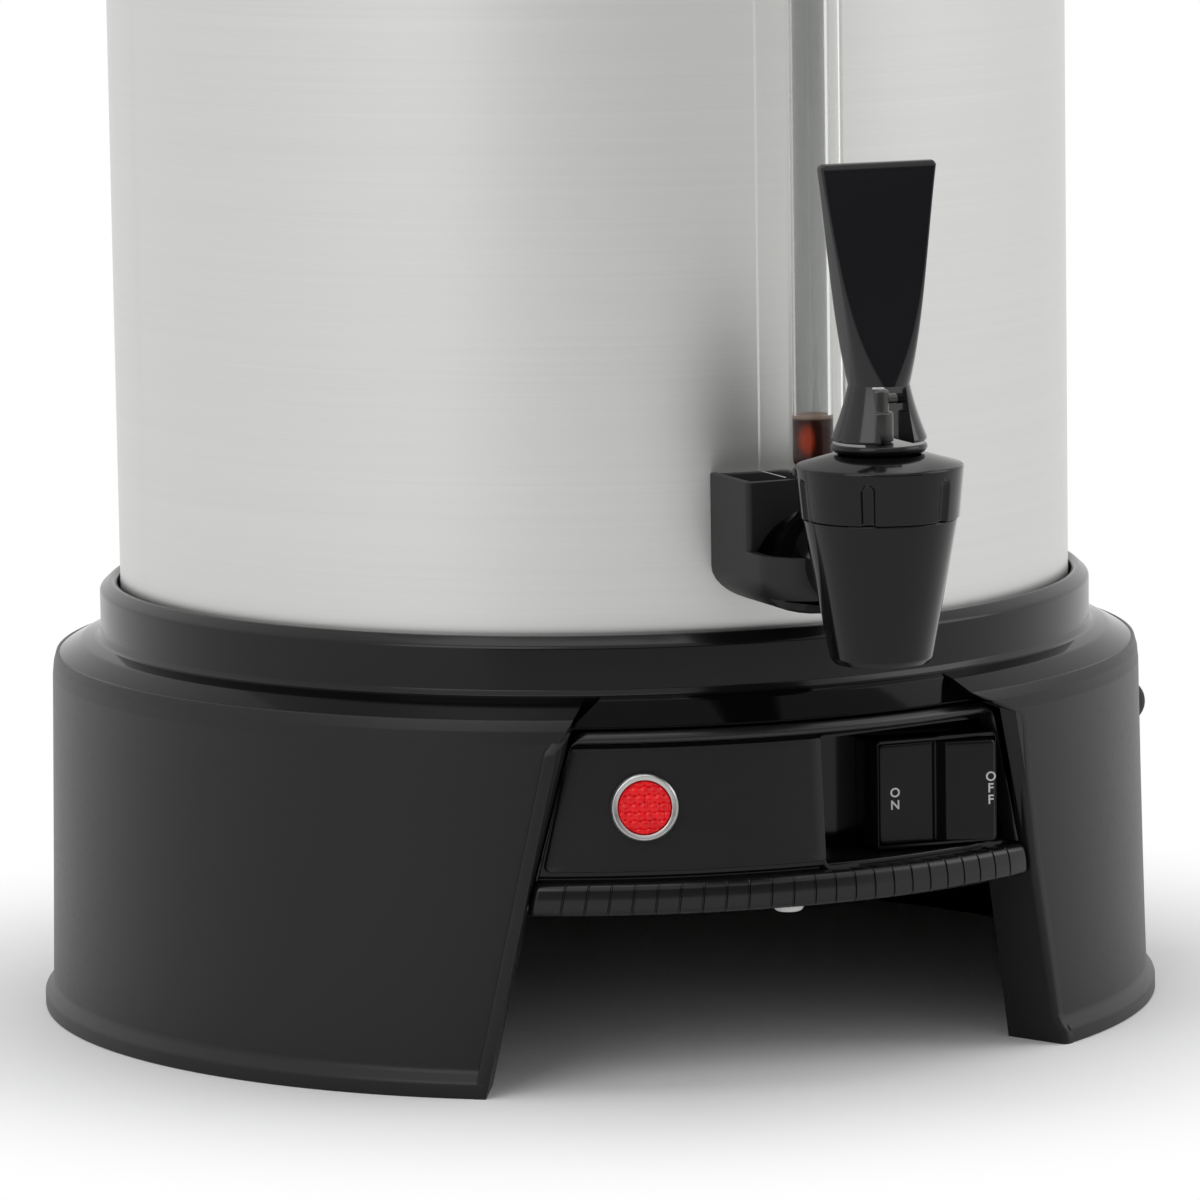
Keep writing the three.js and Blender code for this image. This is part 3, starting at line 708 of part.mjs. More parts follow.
// Lever: a flared fork below; above its round waist the blade gets wider and thinner up to a flat top.
const leverSection = (share, inset = 0) => {
  const left = 1 - share;
  const halfW = LEVER_WAIST_R + (LEVER_TOP_HALF_W - LEVER_WAIST_R) * share - inset;
  const halfT = LEVER_TOP_HALF_T + (LEVER_WAIST_R - LEVER_TOP_HALF_T) * left ** LEVER_THINNING - inset;
  const corner = LEVER_EDGE_R + (LEVER_WAIST_R - LEVER_EDGE_R) * left ** LEVER_ROUNDING;
  return rectangle(-halfW, -halfT, halfW, halfT, Math.min(corner, halfT), 4);
};
const levels = LEVER_SHARES.map((share) => {
  const z = LEVER_WAIST_Z + share * (LEVER_TOP_Z - LEVER_CORNER - LEVER_WAIST_Z);
  return leverSection(share).map(([x, y]) => new THREE.Vector3(x, y, z));
});
levels.push(leverSection(1, LEVER_CORNER).map(([x, y]) => new THREE.Vector3(x, y, LEVER_TOP_Z)));
let lever = turned([
  [0, LEVER_BASE_Z], [LEVER_BASE_R - LEVER_BASE_ROUND, LEVER_BASE_Z],
  [LEVER_BASE_R, LEVER_BASE_Z + LEVER_BASE_ROUND],
  [LEVER_WAIST_R, LEVER_WAIST_Z], [0, LEVER_WAIST_Z],
], SMALL_FACETS);
for (let i = 1; i < levels.length; i++)
  lever = lever.add(solidOf(new ConvexGeometry([...levels[i - 1], ...levels[i]])));
const arch = rectangle(-LEVER_SLOT_HALF, LEVER_BASE_Z - CUT_PAST, LEVER_SLOT_HALF, LEVER_WAIST_Z);
lever = lever.subtract(prism(arch, -LEVER_BASE_R - CUT_PAST, LEVER_BASE_R + CUT_PAST, "y"))
  .subtract(rod(0, PIN_Z, PIN_R + RUNNING_GAP, -LEVER_BASE_R - CUT_PAST, LEVER_BASE_R + CUT_PAST, "x",
    TINY_FACETS));
piece("lever", faucetAt(lever), "gloss");
piece("lever_pin", faucetAt(rod(0, PIN_Z, PIN_R, -LEVER_WAIST_R, LEVER_WAIST_R, "x", TINY_FACETS)),
  "steel");

// Handles.
const handleEdge = TANK_R + HANDLE_OUT;
for (const side of [-1, 1]) {
  const outline = rectangle(0, -HANDLE_HALF_W, handleEdge, HANDLE_HALF_W, HANDLE_CORNER, 4);
  const hole = rectangle(TANK_R / 2, -HANDLE_HALF_W + HANDLE_FOOT, handleEdge - HANDLE_BAR,
    HANDLE_HALF_W - HANDLE_FOOT, HANDLE_INNER_CORNER, 3);
  let handle = prism(outline, HANDLE_Z - HANDLE_HALF_H, HANDLE_Z + HANDLE_HALF_H, "z", [hole])
    .subtract(tankSolid(BRACKET_OFF))
    .intersect(prism(rectangle(TANK_R / 2, -HANDLE_HALF_W, handleEdge, HANDLE_HALF_W), 0, TANK_TOP_Z,
      "z"))
    .intersect(prism(rectangle(TANK_R / 2, HANDLE_Z - HANDLE_HALF_H, handleEdge,
      HANDLE_Z + HANDLE_HALF_H, HANDLE_INNER_CORNER, 2), -HANDLE_HALF_W, HANDLE_HALF_W, "y"));
  for (const end of [-1, 1])
    handle = handle.subtract(rod(end * SCREW_SPREAD, HANDLE_Z, SCREW_R + RUNNING_GAP, 0,
      TANK_R + SCREW_HOLE_DEEP - BRACKET_WALL, "x", TINY_FACETS));
  const mirrored = side < 0 ? handle.mirror([1, 0, 0]) : handle;
  piece(side < 0 ? "handle_left" : "handle_right", mirrored, "black");
}
const screwHeadX = Math.sqrt(inR ** 2 - (SCREW_SPREAD + SCREW_HEAD_R) ** 2) - GAP;
for (const [side, end] of screwSpots) {
  const screw = sideways(turned([
    [0, screwHeadX - SCREW_HEAD], [SCREW_HEAD_R / 2, screwHeadX - SCREW_HEAD],
      [SCREW_HEAD_R, screwHeadX - SCREW_HEAD / 2], [SCREW_HEAD_R, screwHeadX],
    [SCREW_R, screwHeadX], [SCREW_R, screwHeadX + SCREW_LONG], [0, screwHeadX + SCREW_LONG],
  ], TINY_FACETS)).translate([0, end * SCREW_SPREAD, HANDLE_Z]);
  piece(`handle_screw_${side < 0 ? "left" : "right"}_${end < 0 ? "front" : "rear"}`,
    side < 0 ? screw.mirror([1, 0, 0]) : screw, "steel");
}

// Lid and knob.
const lidZ = TANK_TOP_Z + LID_SEAT_GAP, lidTop = lidZ + LID_STEP + LID_DOME;
// The dome falls away from the flat under the knob, slowly at first.
const domeAt = (share, drop) => [LID_FLAT_R + share * (LID_DOME_R - LID_FLAT_R),
  lidTop - drop - LID_DOME * share ** 2];
piece("lid", turned([
  [0, lidTop - LID_WALL], ...DOME_SHARES.map((share) => domeAt(share, LID_WALL)),
  [LID_PLUG_R - LID_WALL, lidZ + LID_WALL],
  [LID_PLUG_R - LID_WALL, lidZ - LID_PLUG_DROP], [LID_PLUG_R, lidZ - LID_PLUG_DROP], [LID_PLUG_R, lidZ],
  [LID_R - LID_WALL, lidZ], [LID_R - LID_WALL, lidZ - LID_HEM], [LID_R, lidZ - LID_HEM],
  [LID_R, lidZ + LID_WALL],
  [LID_PLUG_R, lidZ + LID_WALL + GAP],
  ...DOME_SHARES.toReversed().map((share) => domeAt(share, 0)), [0, lidTop],
], ROUND_FACETS).subtract(rod(0, 0, KNOB_SCREW_R + GAP, lidZ, lidTop + CUT_PAST, "z", TINY_FACETS)),
  "aluminium");
const knobLow = lidTop + GAP / 3, knobTop = knobLow + KNOB_TALL;
piece("lid_knob", turned([
  [0, knobLow], [KNOB_BASE_R, knobLow], [KNOB_BASE_R - KNOB_FOOT / 2, knobLow + KNOB_FOOT],
  [KNOB_NECK_R, knobLow + KNOB_CROWN],
  [KNOB_NECK_R, knobTop - KNOB_CROWN - KNOB_FOOT], [KNOB_TOP_R - KNOB_FOOT / 2, knobTop - KNOB_CROWN],
  [KNOB_TOP_R, knobTop - KNOB_FOOT - KNOB_FOOT / 2],
  [KNOB_TOP_R - KNOB_FOOT / 2, knobTop - KNOB_FOOT / 2], [KNOB_NECK_R, knobTop], [0, knobTop],
], MID_FACETS).subtract(rod(0, 0, KNOB_SCREW_R + RUNNING_GAP, knobLow - CUT_PAST,
  knobLow + KNOB_TALL / 2, "z", TINY_FACETS)), "black");
const knobScrewLow = lidTop - LID_WALL - GAP / 3;
piece("knob_screw", turned([
  [0, knobScrewLow - SCREW_HEAD], [KNOB_SCREW_HEAD_R / 2, knobScrewLow - SCREW_HEAD],
  [KNOB_SCREW_HEAD_R, knobScrewLow - SCREW_HEAD / 2],
  [KNOB_SCREW_HEAD_R, knobScrewLow], [KNOB_SCREW_R, knobScrewLow],
  [KNOB_SCREW_R, knobScrewLow + SCREW_LONG], [0, knobScrewLow + SCREW_LONG],
], TINY_FACETS), "steel");

// Basket, cover and pump.
const basketTop = BASKET_FLOOR_Z + BASKET_TALL, hubR = BASKET_HUB_R;
let basket = turned([
  [hubR - BASKET_WALL, BASKET_FLOOR_Z], [BASKET_R - BASKET_LIP, BASKET_FLOOR_Z],
  [BASKET_R, BASKET_FLOOR_Z + BASKET_LIP], [BASKET_R, basketTop],
  [BASKET_R + BASKET_LIP, basketTop], [BASKET_R + BASKET_LIP, basketTop + BASKET_WALL],
  [BASKET_R - BASKET_WALL, basketTop + BASKET_WALL],
  [BASKET_R - BASKET_WALL, BASKET_FLOOR_Z + BASKET_LIP + BASKET_WALL],
  [BASKET_R - BASKET_LIP - BASKET_WALL, BASKET_FLOOR_Z + BASKET_WALL],
  [hubR, BASKET_FLOOR_Z + BASKET_WALL], [hubR, BASKET_FLOOR_Z + BASKET_HUB_TALL],
  [hubR - BASKET_WALL, BASKET_FLOOR_Z + BASKET_HUB_TALL],
], MID_FACETS);
const ringHoles = (solid, count, at, radius, low, high) => {
  for (let i = 0; i < count; i++)
    solid = solid.subtract(rod(at, 0, radius, low, high, "z", HEX)
      .rotate([0, 0, ((i + 0.5) * 360) / count]));
  return solid;
};
basket = ringHoles(basket, BASKET_HOLES, BASKET_HOLE_RING, BASKET_HOLE_R, BASKET_FLOOR_Z - CUT_PAST,
  BASKET_FLOOR_Z + CUT_PAST);
piece("coffee_basket", basket, "aluminium");
const coverTop = basketTop + BASKET_WALL;
let cover = turned([
  [COVER_HUB_R - COVER_THICK, coverTop - COVER_DROP], [COVER_R - COVER_THICK, coverTop - COVER_DISH],
  [COVER_R - COVER_THICK, coverTop + CUP_GAP],
  [COVER_R + BASKET_LIP, coverTop + CUP_GAP], [COVER_R + BASKET_LIP, coverTop + CUP_GAP + COVER_THICK],
  [COVER_R - COVER_THICK * 2, coverTop + CUP_GAP + COVER_THICK],
  [COVER_R - COVER_THICK * 2, coverTop - COVER_DISH + COVER_THICK],
  [COVER_HUB_R - COVER_THICK, coverTop - COVER_DROP + COVER_THICK],
], MID_FACETS);
cover = ringHoles(cover, COVER_HOLES, COVER_HOLE_RING, BASKET_HOLE_R, coverTop - COVER_DISH - CUT_PAST,
  coverTop);
piece("basket_cover", cover, "aluminium");
const pumpFloor = wellZ + TANK_WALL, footTop = pumpFloor + PUMP_FOOT_TALL;
piece("pump_tube", turned([
  [PUMP_BORE_R, footTop - PUMP_WASHER_LIFT], [PUMP_R, footTop - PUMP_WASHER_LIFT],
  [PUMP_R, BASKET_FLOOR_Z - PUMP_STOP_THICK - CUP_GAP],
  [PUMP_STOP_R, BASKET_FLOOR_Z - PUMP_STOP_THICK - CUP_GAP], [PUMP_STOP_R, BASKET_FLOOR_Z - CUP_GAP],
  [PUMP_R, BASKET_FLOOR_Z - CUP_GAP],
  [PUMP_R, PUMP_TOP_Z], [PUMP_BORE_R, PUMP_TOP_Z],
], SMALL_FACETS), "aluminium");
let pumpFoot = turned([
  [PUMP_FOOT_R - PUMP_FOOT_WALL, pumpFloor], [PUMP_FOOT_R, pumpFloor],
  [PUMP_FOOT_R, pumpFloor + PUMP_FOOT_TALL / 2], [PUMP_FLANGE_R, footTop],
  [PUMP_R + RUNNING_GAP, footTop], [PUMP_R + RUNNING_GAP, footTop - PUMP_FOOT_WALL],
  [PUMP_FLANGE_R, footTop - PUMP_FOOT_WALL],
  [PUMP_FOOT_R - PUMP_FOOT_WALL, pumpFloor + PUMP_FOOT_TALL / 2 - PUMP_FOOT_WALL],
], MID_FACETS);
const pumpSlot = prism(rectangle(0, -PUMP_SLOT_HALF, PUMP_FOOT_R + CUT_PAST, PUMP_SLOT_HALF),
  pumpFloor - CUT_PAST, pumpFloor + PUMP_SLOT_HALF, "z");
for (let i = 0; i < PUMP_SLOTS; i++)
  pumpFoot = pumpFoot.subtract(pumpSlot.rotate([0, 0, (i * 360) / PUMP_SLOTS]));
piece("pump_foot", pumpFoot, "aluminium");
piece("pump_washer", tube(PUMP_WASHER_R, THERMO_PIN_R, pumpFloor + GAP,
  pumpFloor + GAP + PUMP_WASHER_THICK, SMALL_FACETS), "steel");

group.position.y = SHIFT_Y;
export default group;
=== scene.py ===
import json
import math
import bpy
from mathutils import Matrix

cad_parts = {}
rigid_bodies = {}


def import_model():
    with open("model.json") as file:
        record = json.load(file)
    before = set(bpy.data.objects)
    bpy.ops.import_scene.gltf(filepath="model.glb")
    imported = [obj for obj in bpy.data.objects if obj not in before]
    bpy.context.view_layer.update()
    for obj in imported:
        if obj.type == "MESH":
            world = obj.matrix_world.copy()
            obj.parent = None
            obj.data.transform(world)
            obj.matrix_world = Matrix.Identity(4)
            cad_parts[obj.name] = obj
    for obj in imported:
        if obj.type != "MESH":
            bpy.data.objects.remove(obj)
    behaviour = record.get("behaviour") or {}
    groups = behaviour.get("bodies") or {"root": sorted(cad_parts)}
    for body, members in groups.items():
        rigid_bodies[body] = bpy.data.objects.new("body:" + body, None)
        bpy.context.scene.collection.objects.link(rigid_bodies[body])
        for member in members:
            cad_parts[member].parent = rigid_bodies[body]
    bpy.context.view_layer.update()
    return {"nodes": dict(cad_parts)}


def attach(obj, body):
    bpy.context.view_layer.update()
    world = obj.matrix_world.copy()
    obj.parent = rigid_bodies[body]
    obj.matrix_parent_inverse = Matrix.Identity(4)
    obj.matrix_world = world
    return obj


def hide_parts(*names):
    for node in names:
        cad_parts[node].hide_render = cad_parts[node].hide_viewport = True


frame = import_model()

from types import SimpleNamespace

import bmesh
import bpy
import numpy as np
from bpy.props import FloatProperty, FloatVectorProperty, IntProperty, PointerProperty
from mathutils import Matrix, Vector

bl_info = {
    "name": "Coffee Urn",
    "version": (1, 0, 0),
    "blender": (4, 5, 0),
    "location": "3D View > Sidebar > Urn",
    "description": "Smooth surfaces, finishes and a studio for a percolating coffee urn",
    "category": "Add Mesh",
}

MM = 0.001                      # the shapes are worked out in millimetres
AXIS_Y = 32.6                   # the urn's axis stands this far behind the middle of the box
FULL = 2 * math.pi

# Sides of the front opening: half widths on a plane in front of the axis, and how fast they spread.
SPLAY_FROM, SPLAY = 148.0, 0.5
HALF_FOOT, HALF_TOP, HALF_CORNER = 95.6, 71.6, 56.0
TIP_HALF, TIP_FROM_Z, TIP_Z = 50.3, 99.6, 106.9
TOP_Z, CEILING_Z = 98.5, 112.0
BAND, WALL, GAP, BEAD = 4.2, 2.6, 0.3, 2.0

# Where the skirt ends under its shoulder, and the panel's face: its head, its foot and how far it leans.
SKIRT_END_R, SKIRT_END_Z = 162.6, 104.0
PANEL_HEAD_Z, PANEL_FOOT_Z, PANEL_LEAN = 98.8, 61.4, 0.096

# The rocker's front, from its left end over the ridge and the valley to its right end.
ROCKER_X, ROCKER_Y = (-17.6, -1.0, 2.6, 17.6), (-5.1, -3.3, -5.6, -6.0)
SWITCH_X, SWITCH_Z, PIVOT_Y, LEAN = 46.6, 78.0, -141.0, -8.0

# The bracket's half width, and the heights at which its nose begins and starts to round in.
BRACKET_HALF, NOSE_Z, NOSE_BEND_Z = 21.2, 154.0, 147.2

LAMP_ANGLE, LAMP_Z = -17.2, 81.2
GAUGE_Y, SHANK_Z, PIN_Z, GLAND_Z = -164.2, 152.4, 199.8, 75.0


# Sizes and colours.

def length(name, default, text):
    """A length in metres that stands in the panel."""
    return FloatProperty(name=name, description=text, default=default, min=0.0, precision=4,
                         subtype="DISTANCE", unit="LENGTH")


def colour(name, default, text):
    """A colour that stands in the panel."""
    return FloatVectorProperty(name=name, description=text, default=default, size=3, min=0.0, max=1.0,
                               subtype="COLOR")


def lengths(group):
    """The lengths of a group of sizes as plain millimetres, its counts and angles as they are."""
    values = {}
    for key, prop in group.bl_rna.properties.items():
        if key in ("rna_type", "name"):
            continue
        value = getattr(group, key)
        values[key] = value / MM if getattr(prop, "unit", "") == "LENGTH" else value
    return SimpleNamespace(**values)


class UrnTankSizes(bpy.types.PropertyGroup):
    """Sizes of the tank, its lid and its handles."""
    radius: length("Tank Radius", 0.1425, "Outside radius of the tank")
    wall: length("Tank Wall", 0.0013, "Thickness of the tank's sheet")
    floor: length("Tank Floor", 0.1145, "Height of the tank's floor above the table")
    top: length("Tank Top", 0.474, "Height of the rolled rim above the table")
    lid_radius: length("Lid Radius", 0.1492, "Outside radius of the lid")
    lid_dome: length("Lid Dome", 0.028, "How far the lid's dome rises")
    handle_height: length("Handle Height", 0.408, "Height of the handles above the table")


class UrnBaseSizes(bpy.types.PropertyGroup):
    """Sizes of the moulded base."""
    collar: length("Collar Radius", 0.1487, "Outside radius of the collar round the tank")
    skirt_top: length("Skirt Top Radius", 0.1634, "Radius of the skirt just under its shoulder")
    skirt_foot: length("Skirt Foot Radius", 0.1654, "Radius of the skirt just above the foot")
    foot: length("Foot Radius", 0.168, "Radius of the foot")
    ledge: length("Ledge Radius", 0.1636, "Radius of the grooved ledge")
    grooves: IntProperty(name="Ledge Grooves", description="Number of grooves in the ledge", default=23,
                         min=0)
    groove_step: FloatProperty(name="Groove Step", description="Angle from groove to groove",
                               default=math.radians(2.35), subtype="ANGLE", unit="ROTATION")


class UrnFaucetSizes(bpy.types.PropertyGroup):
    """Sizes of the faucet and its lever."""
    out: length("Faucet Reach", 0.210, "Distance of the faucet's axis from the urn's axis")
    cone_top: length("Cone Top Radius", 0.0213, "Radius of the faucet's cone under the nut")
    cone_low: length("Cone Low Radius", 0.0142, "Radius of the cone at the spout")
    nut: length("Nut Radius", 0.0232, "Largest radius of the bonnet nut")
    lever_top: length("Lever Top", 0.2648, "Height of the lever's flat top")
    lever_width: length("Lever Width", 0.0344, "Width of the lever's flat top")
    flutes: IntProperty(name="Nut Flutes", description="Number of flutes round the nut", default=6, min=0)


class UrnColours(bpy.types.PropertyGroup):
    """Colours of the finishes."""
    metal: colour("Metal", (0.63, 0.63, 0.62), "Brushed aluminium")
    steel: colour("Steel", (0.50, 0.50, 0.49), "Plated steel")
    moulding: colour("Moulding", (0.0075, 0.0077, 0.0085), "Satin black moulding")
    gloss: colour("Gloss Moulding", (0.0042, 0.0042, 0.0048), "Glossy black moulding")
    plate: colour("Plate", (0.0062, 0.0064, 0.007), "Dark grey plate of the panel")
    lens: colour("Lens", (0.68, 0.0035, 0.008), "Lens of the pilot lamp")
    coffee: colour("Coffee", (0.030, 0.009, 0.006), "Coffee in the gauge")
    letters: colour("Letters", (0.55, 0.55, 0.54), "Letters of the switch")


class UrnStageSizes(bpy.types.PropertyGroup):
    """The camera and the floor."""
    camera: FloatVectorProperty(name="Camera", description="Place of the camera", size=3,
                                default=(-0.8065, -1.9679, 0.420), subtype="TRANSLATION", unit="LENGTH")
    azimuth: FloatProperty(name="Azimuth", description="How far round the object the camera stands",
                           default=math.radians(-22), subtype="ANGLE", unit="ROTATION")
    pitch: FloatProperty(name="Pitch", description="How far down the camera looks",
                         default=math.radians(7.96), subtype="ANGLE", unit="ROTATION")
    roll: FloatProperty(name="Roll", description="How far the camera leans to its right",
                        default=math.radians(0.87), subtype="ANGLE", unit="ROTATION")
    lens: FloatProperty(name="Lens", description="Focal length in millimetres", default=216.69, min=1.0)
    floor: length("Floor Size", 12.0, "Width of the floor")


# Shapes.

def soften(corners, steps=5):
    """Rounds the corners of a closed outline. Each corner is (a, b, radius); where the radius isn't zero, an
    arc that touches both sides takes its place, made smaller where a side is too short for it."""
    data = np.asarray(corners, float)
    at, radius = data[:, :2], data[:, 2]
    back, ahead = np.roll(at, 1, 0) - at, np.roll(at, -1, 0) - at
    long_a, long_b = np.linalg.norm(back, axis=1), np.linalg.norm(ahead, axis=1)
    u, v = back / long_a[:, None], ahead / long_b[:, None]
    half = np.arccos(np.clip((u * v).sum(1), -1, 1)) / 2
    reach = np.minimum(radius / np.tan(np.clip(half, 0.01, 1.57)), 0.49 * np.minimum(long_a, long_b))
    parts = []
    for i in range(len(at)):
        turn = math.pi - 2 * half[i]
        if reach[i] < 1e-4 or turn < 0.02:
            parts.append(at[i:i + 1])
            continue
        middle = (u[i] + v[i]) / np.linalg.norm(u[i] + v[i])
        centre = at[i] + middle * reach[i] / math.cos(half[i])
        share = np.linspace(0, 1, steps + 1)[:, None]
        start, end = at[i] + u[i] * reach[i] - centre, at[i] + v[i] * reach[i] - centre
        arc = np.sin((1 - share) * turn) * start + np.sin(share * turn) * end
        parts.append(centre + arc / math.sin(turn))
    return np.concatenate(parts)


def rounded(half_a, half_b, corner, steps=6):
    """The outline of a rectangle about the origin with round corners, in turning order."""
    return soften([(half_a, -half_b, corner), (half_a, half_b, corner), (-half_a, half_b, corner),
                   (-half_a, -half_b, corner)], steps)


def skin(grid, wrap_rows=False, wrap_columns=True, caps=True):
    """Joins a grid of points to quads, row to row and column to column. Where the rows aren't wrapped, the
    first and the last row are closed by a face."""
    rows, columns = grid.shape[:2]
    index = np.arange(rows * columns).reshape(rows, columns)
    low = index if wrap_rows else index[:-1]
    high = np.roll(index, -1, 0) if wrap_rows else index[1:]
    if wrap_columns:
        quads = np.stack([low, np.roll(low, -1, 1), np.roll(high, -1, 1), high], -1)
    else:
        quads = np.stack([low[:, :-1], low[:, 1:], high[:, 1:], high[:, :-1]], -1)
    faces = quads.reshape(-1, 4).tolist()
    if caps and not wrap_rows and wrap_columns:
        faces += [index[0][::-1].tolist(), index[-1].tolist()]
    return grid.reshape(-1, 3), faces


def polar(r, t, z):
    """Points at radius r, angle t from the front and height z: x is the radius times the sine of the angle,
    y minus the radius times its cosine."""
    r, t, z = np.broadcast_arrays(r, t, z)
    return np.stack([r * np.sin(t), -r * np.cos(t), z], -1)


def lathe(profile, steps=192):
    """Turns a closed outline of (radius, height) once round the vertical axis."""
    r, z = np.asarray(profile, float).T
    return skin(polar(r, (np.arange(steps) * FULL / steps)[:, None], z), wrap_rows=True)


def spun(corners, rounding, steps, y=0.0):
    """Rounds an outline of (radius, height, corner radius) and turns it about an upright line at y."""
    return moved(lathe(soften(corners, rounding), steps), 0, y, 0)


def swept(profile, left, right, steps=96):
    """Carries a closed outline of (radius, height) round the axis between two angles, which may differ from
    point to point of the outline: the angle of a point is a straight mean of its two limits."""
    r, z = np.asarray(profile, float).T
    share = np.linspace(0, 1, steps + 1)[:, None]
    return skin(polar(r, (1 - share) * left(r, z) + share * right(r, z), z))


def tower(outlines, heights):
    """Stacks closed outlines of (x, y), one for each height, and joins them."""
    return skin(np.stack([np.column_stack([o, np.full(len(o), h)]) for o, h in zip(outlines, heights)]))


def pillow(outline, low, high, edge=0.6, steps=4):
    """A flat piece with round edges: its outline is drawn in towards its middle along a quarter circle at the
    bottom and at the top. The outline is (a, b) and the heights run along the third axis."""
    outline = np.asarray(outline, float)
    middle = (outline.max(0) + outline.min(0)) / 2
    reach = np.abs(outline - middle).max(0)
    angle = np.linspace(0, math.pi / 2, steps + 1)
    inset, rise = edge * (1 - np.sin(angle)), edge * (1 - np.cos(angle))
    heights = np.concatenate([low + rise, high - rise[::-1]])
    return tower([middle + (outline - middle) * (1 - k / reach) for k in (*inset, *inset[::-1])], heights)


def divided(line, step):
    """A line with more points between any two neighbours that are two or more steps apart."""
    fine = [line[0]]
    for start, end in zip(line, line[1:]):
        count = max(1, int(np.linalg.norm(end - start) // step))
        fine += [start + (end - start) * k / count for k in range(1, count + 1)]
    return np.array(fine)


def smooth(share):
    """A smooth step from 0 to 1, level outside them."""
    share = np.clip(share, 0, 1)
    return share * share * (3 - 2 * share)


def frontward(shell):
    """Lays a shell down so that its height runs to the front."""
    points, faces = shell
    return np.stack([points[:, 0], -points[:, 2], points[:, 1]], 1), faces


def rightward(shell):
    """Lays a shell down so that its height runs to the right."""
    points, faces = shell
    return np.stack([points[:, 2], points[:, 1], -points[:, 0]], 1), faces


def moved(shell, x=0.0, y=0.0, z=0.0):
    """Moves a shell."""
    return shell[0] + np.array([x, y, z]), shell[1]


def turned(shell, axis, degrees):
    """Turns a shell about an axis through the origin: 0 for x, 1 for y and 2 for z."""
    a = math.radians(degrees)
    first, second = [(1, 2), (2, 0), (0, 1)][axis]
    points = shell[0].copy()
    points[:, first] = shell[0][:, first] * math.cos(a) - shell[0][:, second] * math.sin(a)
    points[:, second] = shell[0][:, first] * math.sin(a) + shell[0][:, second] * math.cos(a)
    return points, shell[1]


def mirrored(shell):
    """A shell seen in a mirror, left for right."""
    return shell[0] * np.array([-1, 1, 1]), [face[::-1] for face in shell[1]]


def put(name, shells, finish, stands_for=(), body=None, sharp=32.0):
    """Makes one object of closed shells in millimetres. Each shell is merged and turned to face outwards on
    its own, and edges sharper than the given angle stay crisp."""
    whole = bpy.data.meshes.new(name)
    joined = bmesh.new()
    for points, faces in shells:
        part = bpy.data.meshes.new("part")
        at = (np.asarray(points, float) + np.array([0.0, AXIS_Y, 0.0])) * MM
        part.from_pydata(at.tolist(), [], faces)
        work = bmesh.new()
        work.from_mesh(part)
        bmesh.ops.remove_doubles(work, verts=work.verts, dist=2e-6)
        bmesh.ops.dissolve_degenerate(work, edges=work.edges, dist=1e-7)
        bmesh.ops.recalc_face_normals(work, faces=work.faces)
        work.to_mesh(part)
        work.free()
        joined.from_mesh(part)
        bpy.data.meshes.remove(part)
    joined.to_mesh(whole)
    joined.free()
    whole.shade_smooth()
    whole.set_sharp_from_angle(angle=math.radians(sharp))
    piece = bpy.data.objects.new(name, whole)
    bpy.context.scene.collection.objects.link(piece)
    piece.data.materials.append(finish)
    nodes = (stands_for,) if isinstance(stands_for, str) else tuple(stands_for)
    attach(piece, body or frame["nodes"][nodes[0]].parent.name.split(":")[1])
    if nodes:
        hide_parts(*nodes)
    return piece


def unreflected(*pieces):
    """Leaves pieces out of reflections, so that the tank stays plain behind them."""
    for piece in pieces:
        piece.visible_glossy = False


def opening_half(z):
    """Half the width of the opening at height z, in the plane where its sides are measured."""
    return np.interp(z, [0, TOP_Z, CEILING_Z], [HALF_FOOT, HALF_TOP, HALF_CORNER])


def side_angle(r, z, grow=0.0):
    """The angle from the front at which the side of the opening crosses a circle of radius r at height z.
    The side is a plane for each height, which spreads by a half of the way outwards."""
    r = np.asarray(r, float)
    slant = math.sqrt(1 + SPLAY * SPLAY)
    half = opening_half(z) + grow
    return math.atan(SPLAY) + np.arcsin(np.clip((half - SPLAY * SPLAY_FROM) / (slant * r), -1, 1))


def right_angle(r, z, grow=0.0):
    """The same on the right, where the opening is narrower towards the foot, and where the skirt's top runs
    out to a tip over the frame's corner."""
    grow = grow + np.interp(z, [0, 56, 80, 95], [-5.5, -4.5, -2.3, 0])
    tip = np.interp(z, [TIP_FROM_Z, TIP_Z], [HALF_TOP - 1.2, TIP_HALF]) - opening_half(z)
    return side_angle(r, z, grow + np.where(np.asarray(z) > TIP_FROM_Z, np.minimum(tip, 0), 0))


def on_tank(flat, r):
    """Points (x, y) seen from above, moved forward to the tank's wall where they lie inside it."""
    wall = -np.sqrt((r + 0.1) ** 2 - flat[:, 0] ** 2)
    return np.column_stack([flat[:, 0], np.minimum(flat[:, 1], wall)])


# Finishes.

class Wire:
    """A value or colour on its way through the nodes. Sums on it add Math nodes."""

    def __init__(self, tree, socket):
        self.tree, self.socket = tree, socket

    def math(self, operation, *values):
        node = self.tree.nodes.new("ShaderNodeMath")
        node.operation = operation
        for socket, value in zip(node.inputs, values):
            if isinstance(value, Wire):
                self.tree.links.new(value.socket, socket)
            else:
                socket.default_value = value
        return Wire(self.tree, node.outputs[0])

    def __add__(self, other): return self.math("ADD", self, other)
    def __radd__(self, other): return self.math("ADD", other, self)
    def __sub__(self, other): return self.math("SUBTRACT", self, other)
    def __rsub__(self, other): return self.math("SUBTRACT", other, self)
    def __mul__(self, other): return self.math("MULTIPLY", self, other)
    def __rmul__(self, other): return self.math("MULTIPLY", other, self)
    def __truediv__(self, other): return self.math("DIVIDE", self, other)
    def __rtruediv__(self, other): return self.math("DIVIDE", other, self)
    def __pow__(self, other): return self.math("POWER", self, other)
    def most(self, other): return self.math("MAXIMUM", self, other)
    def root(self): return self.math("SQRT", self)


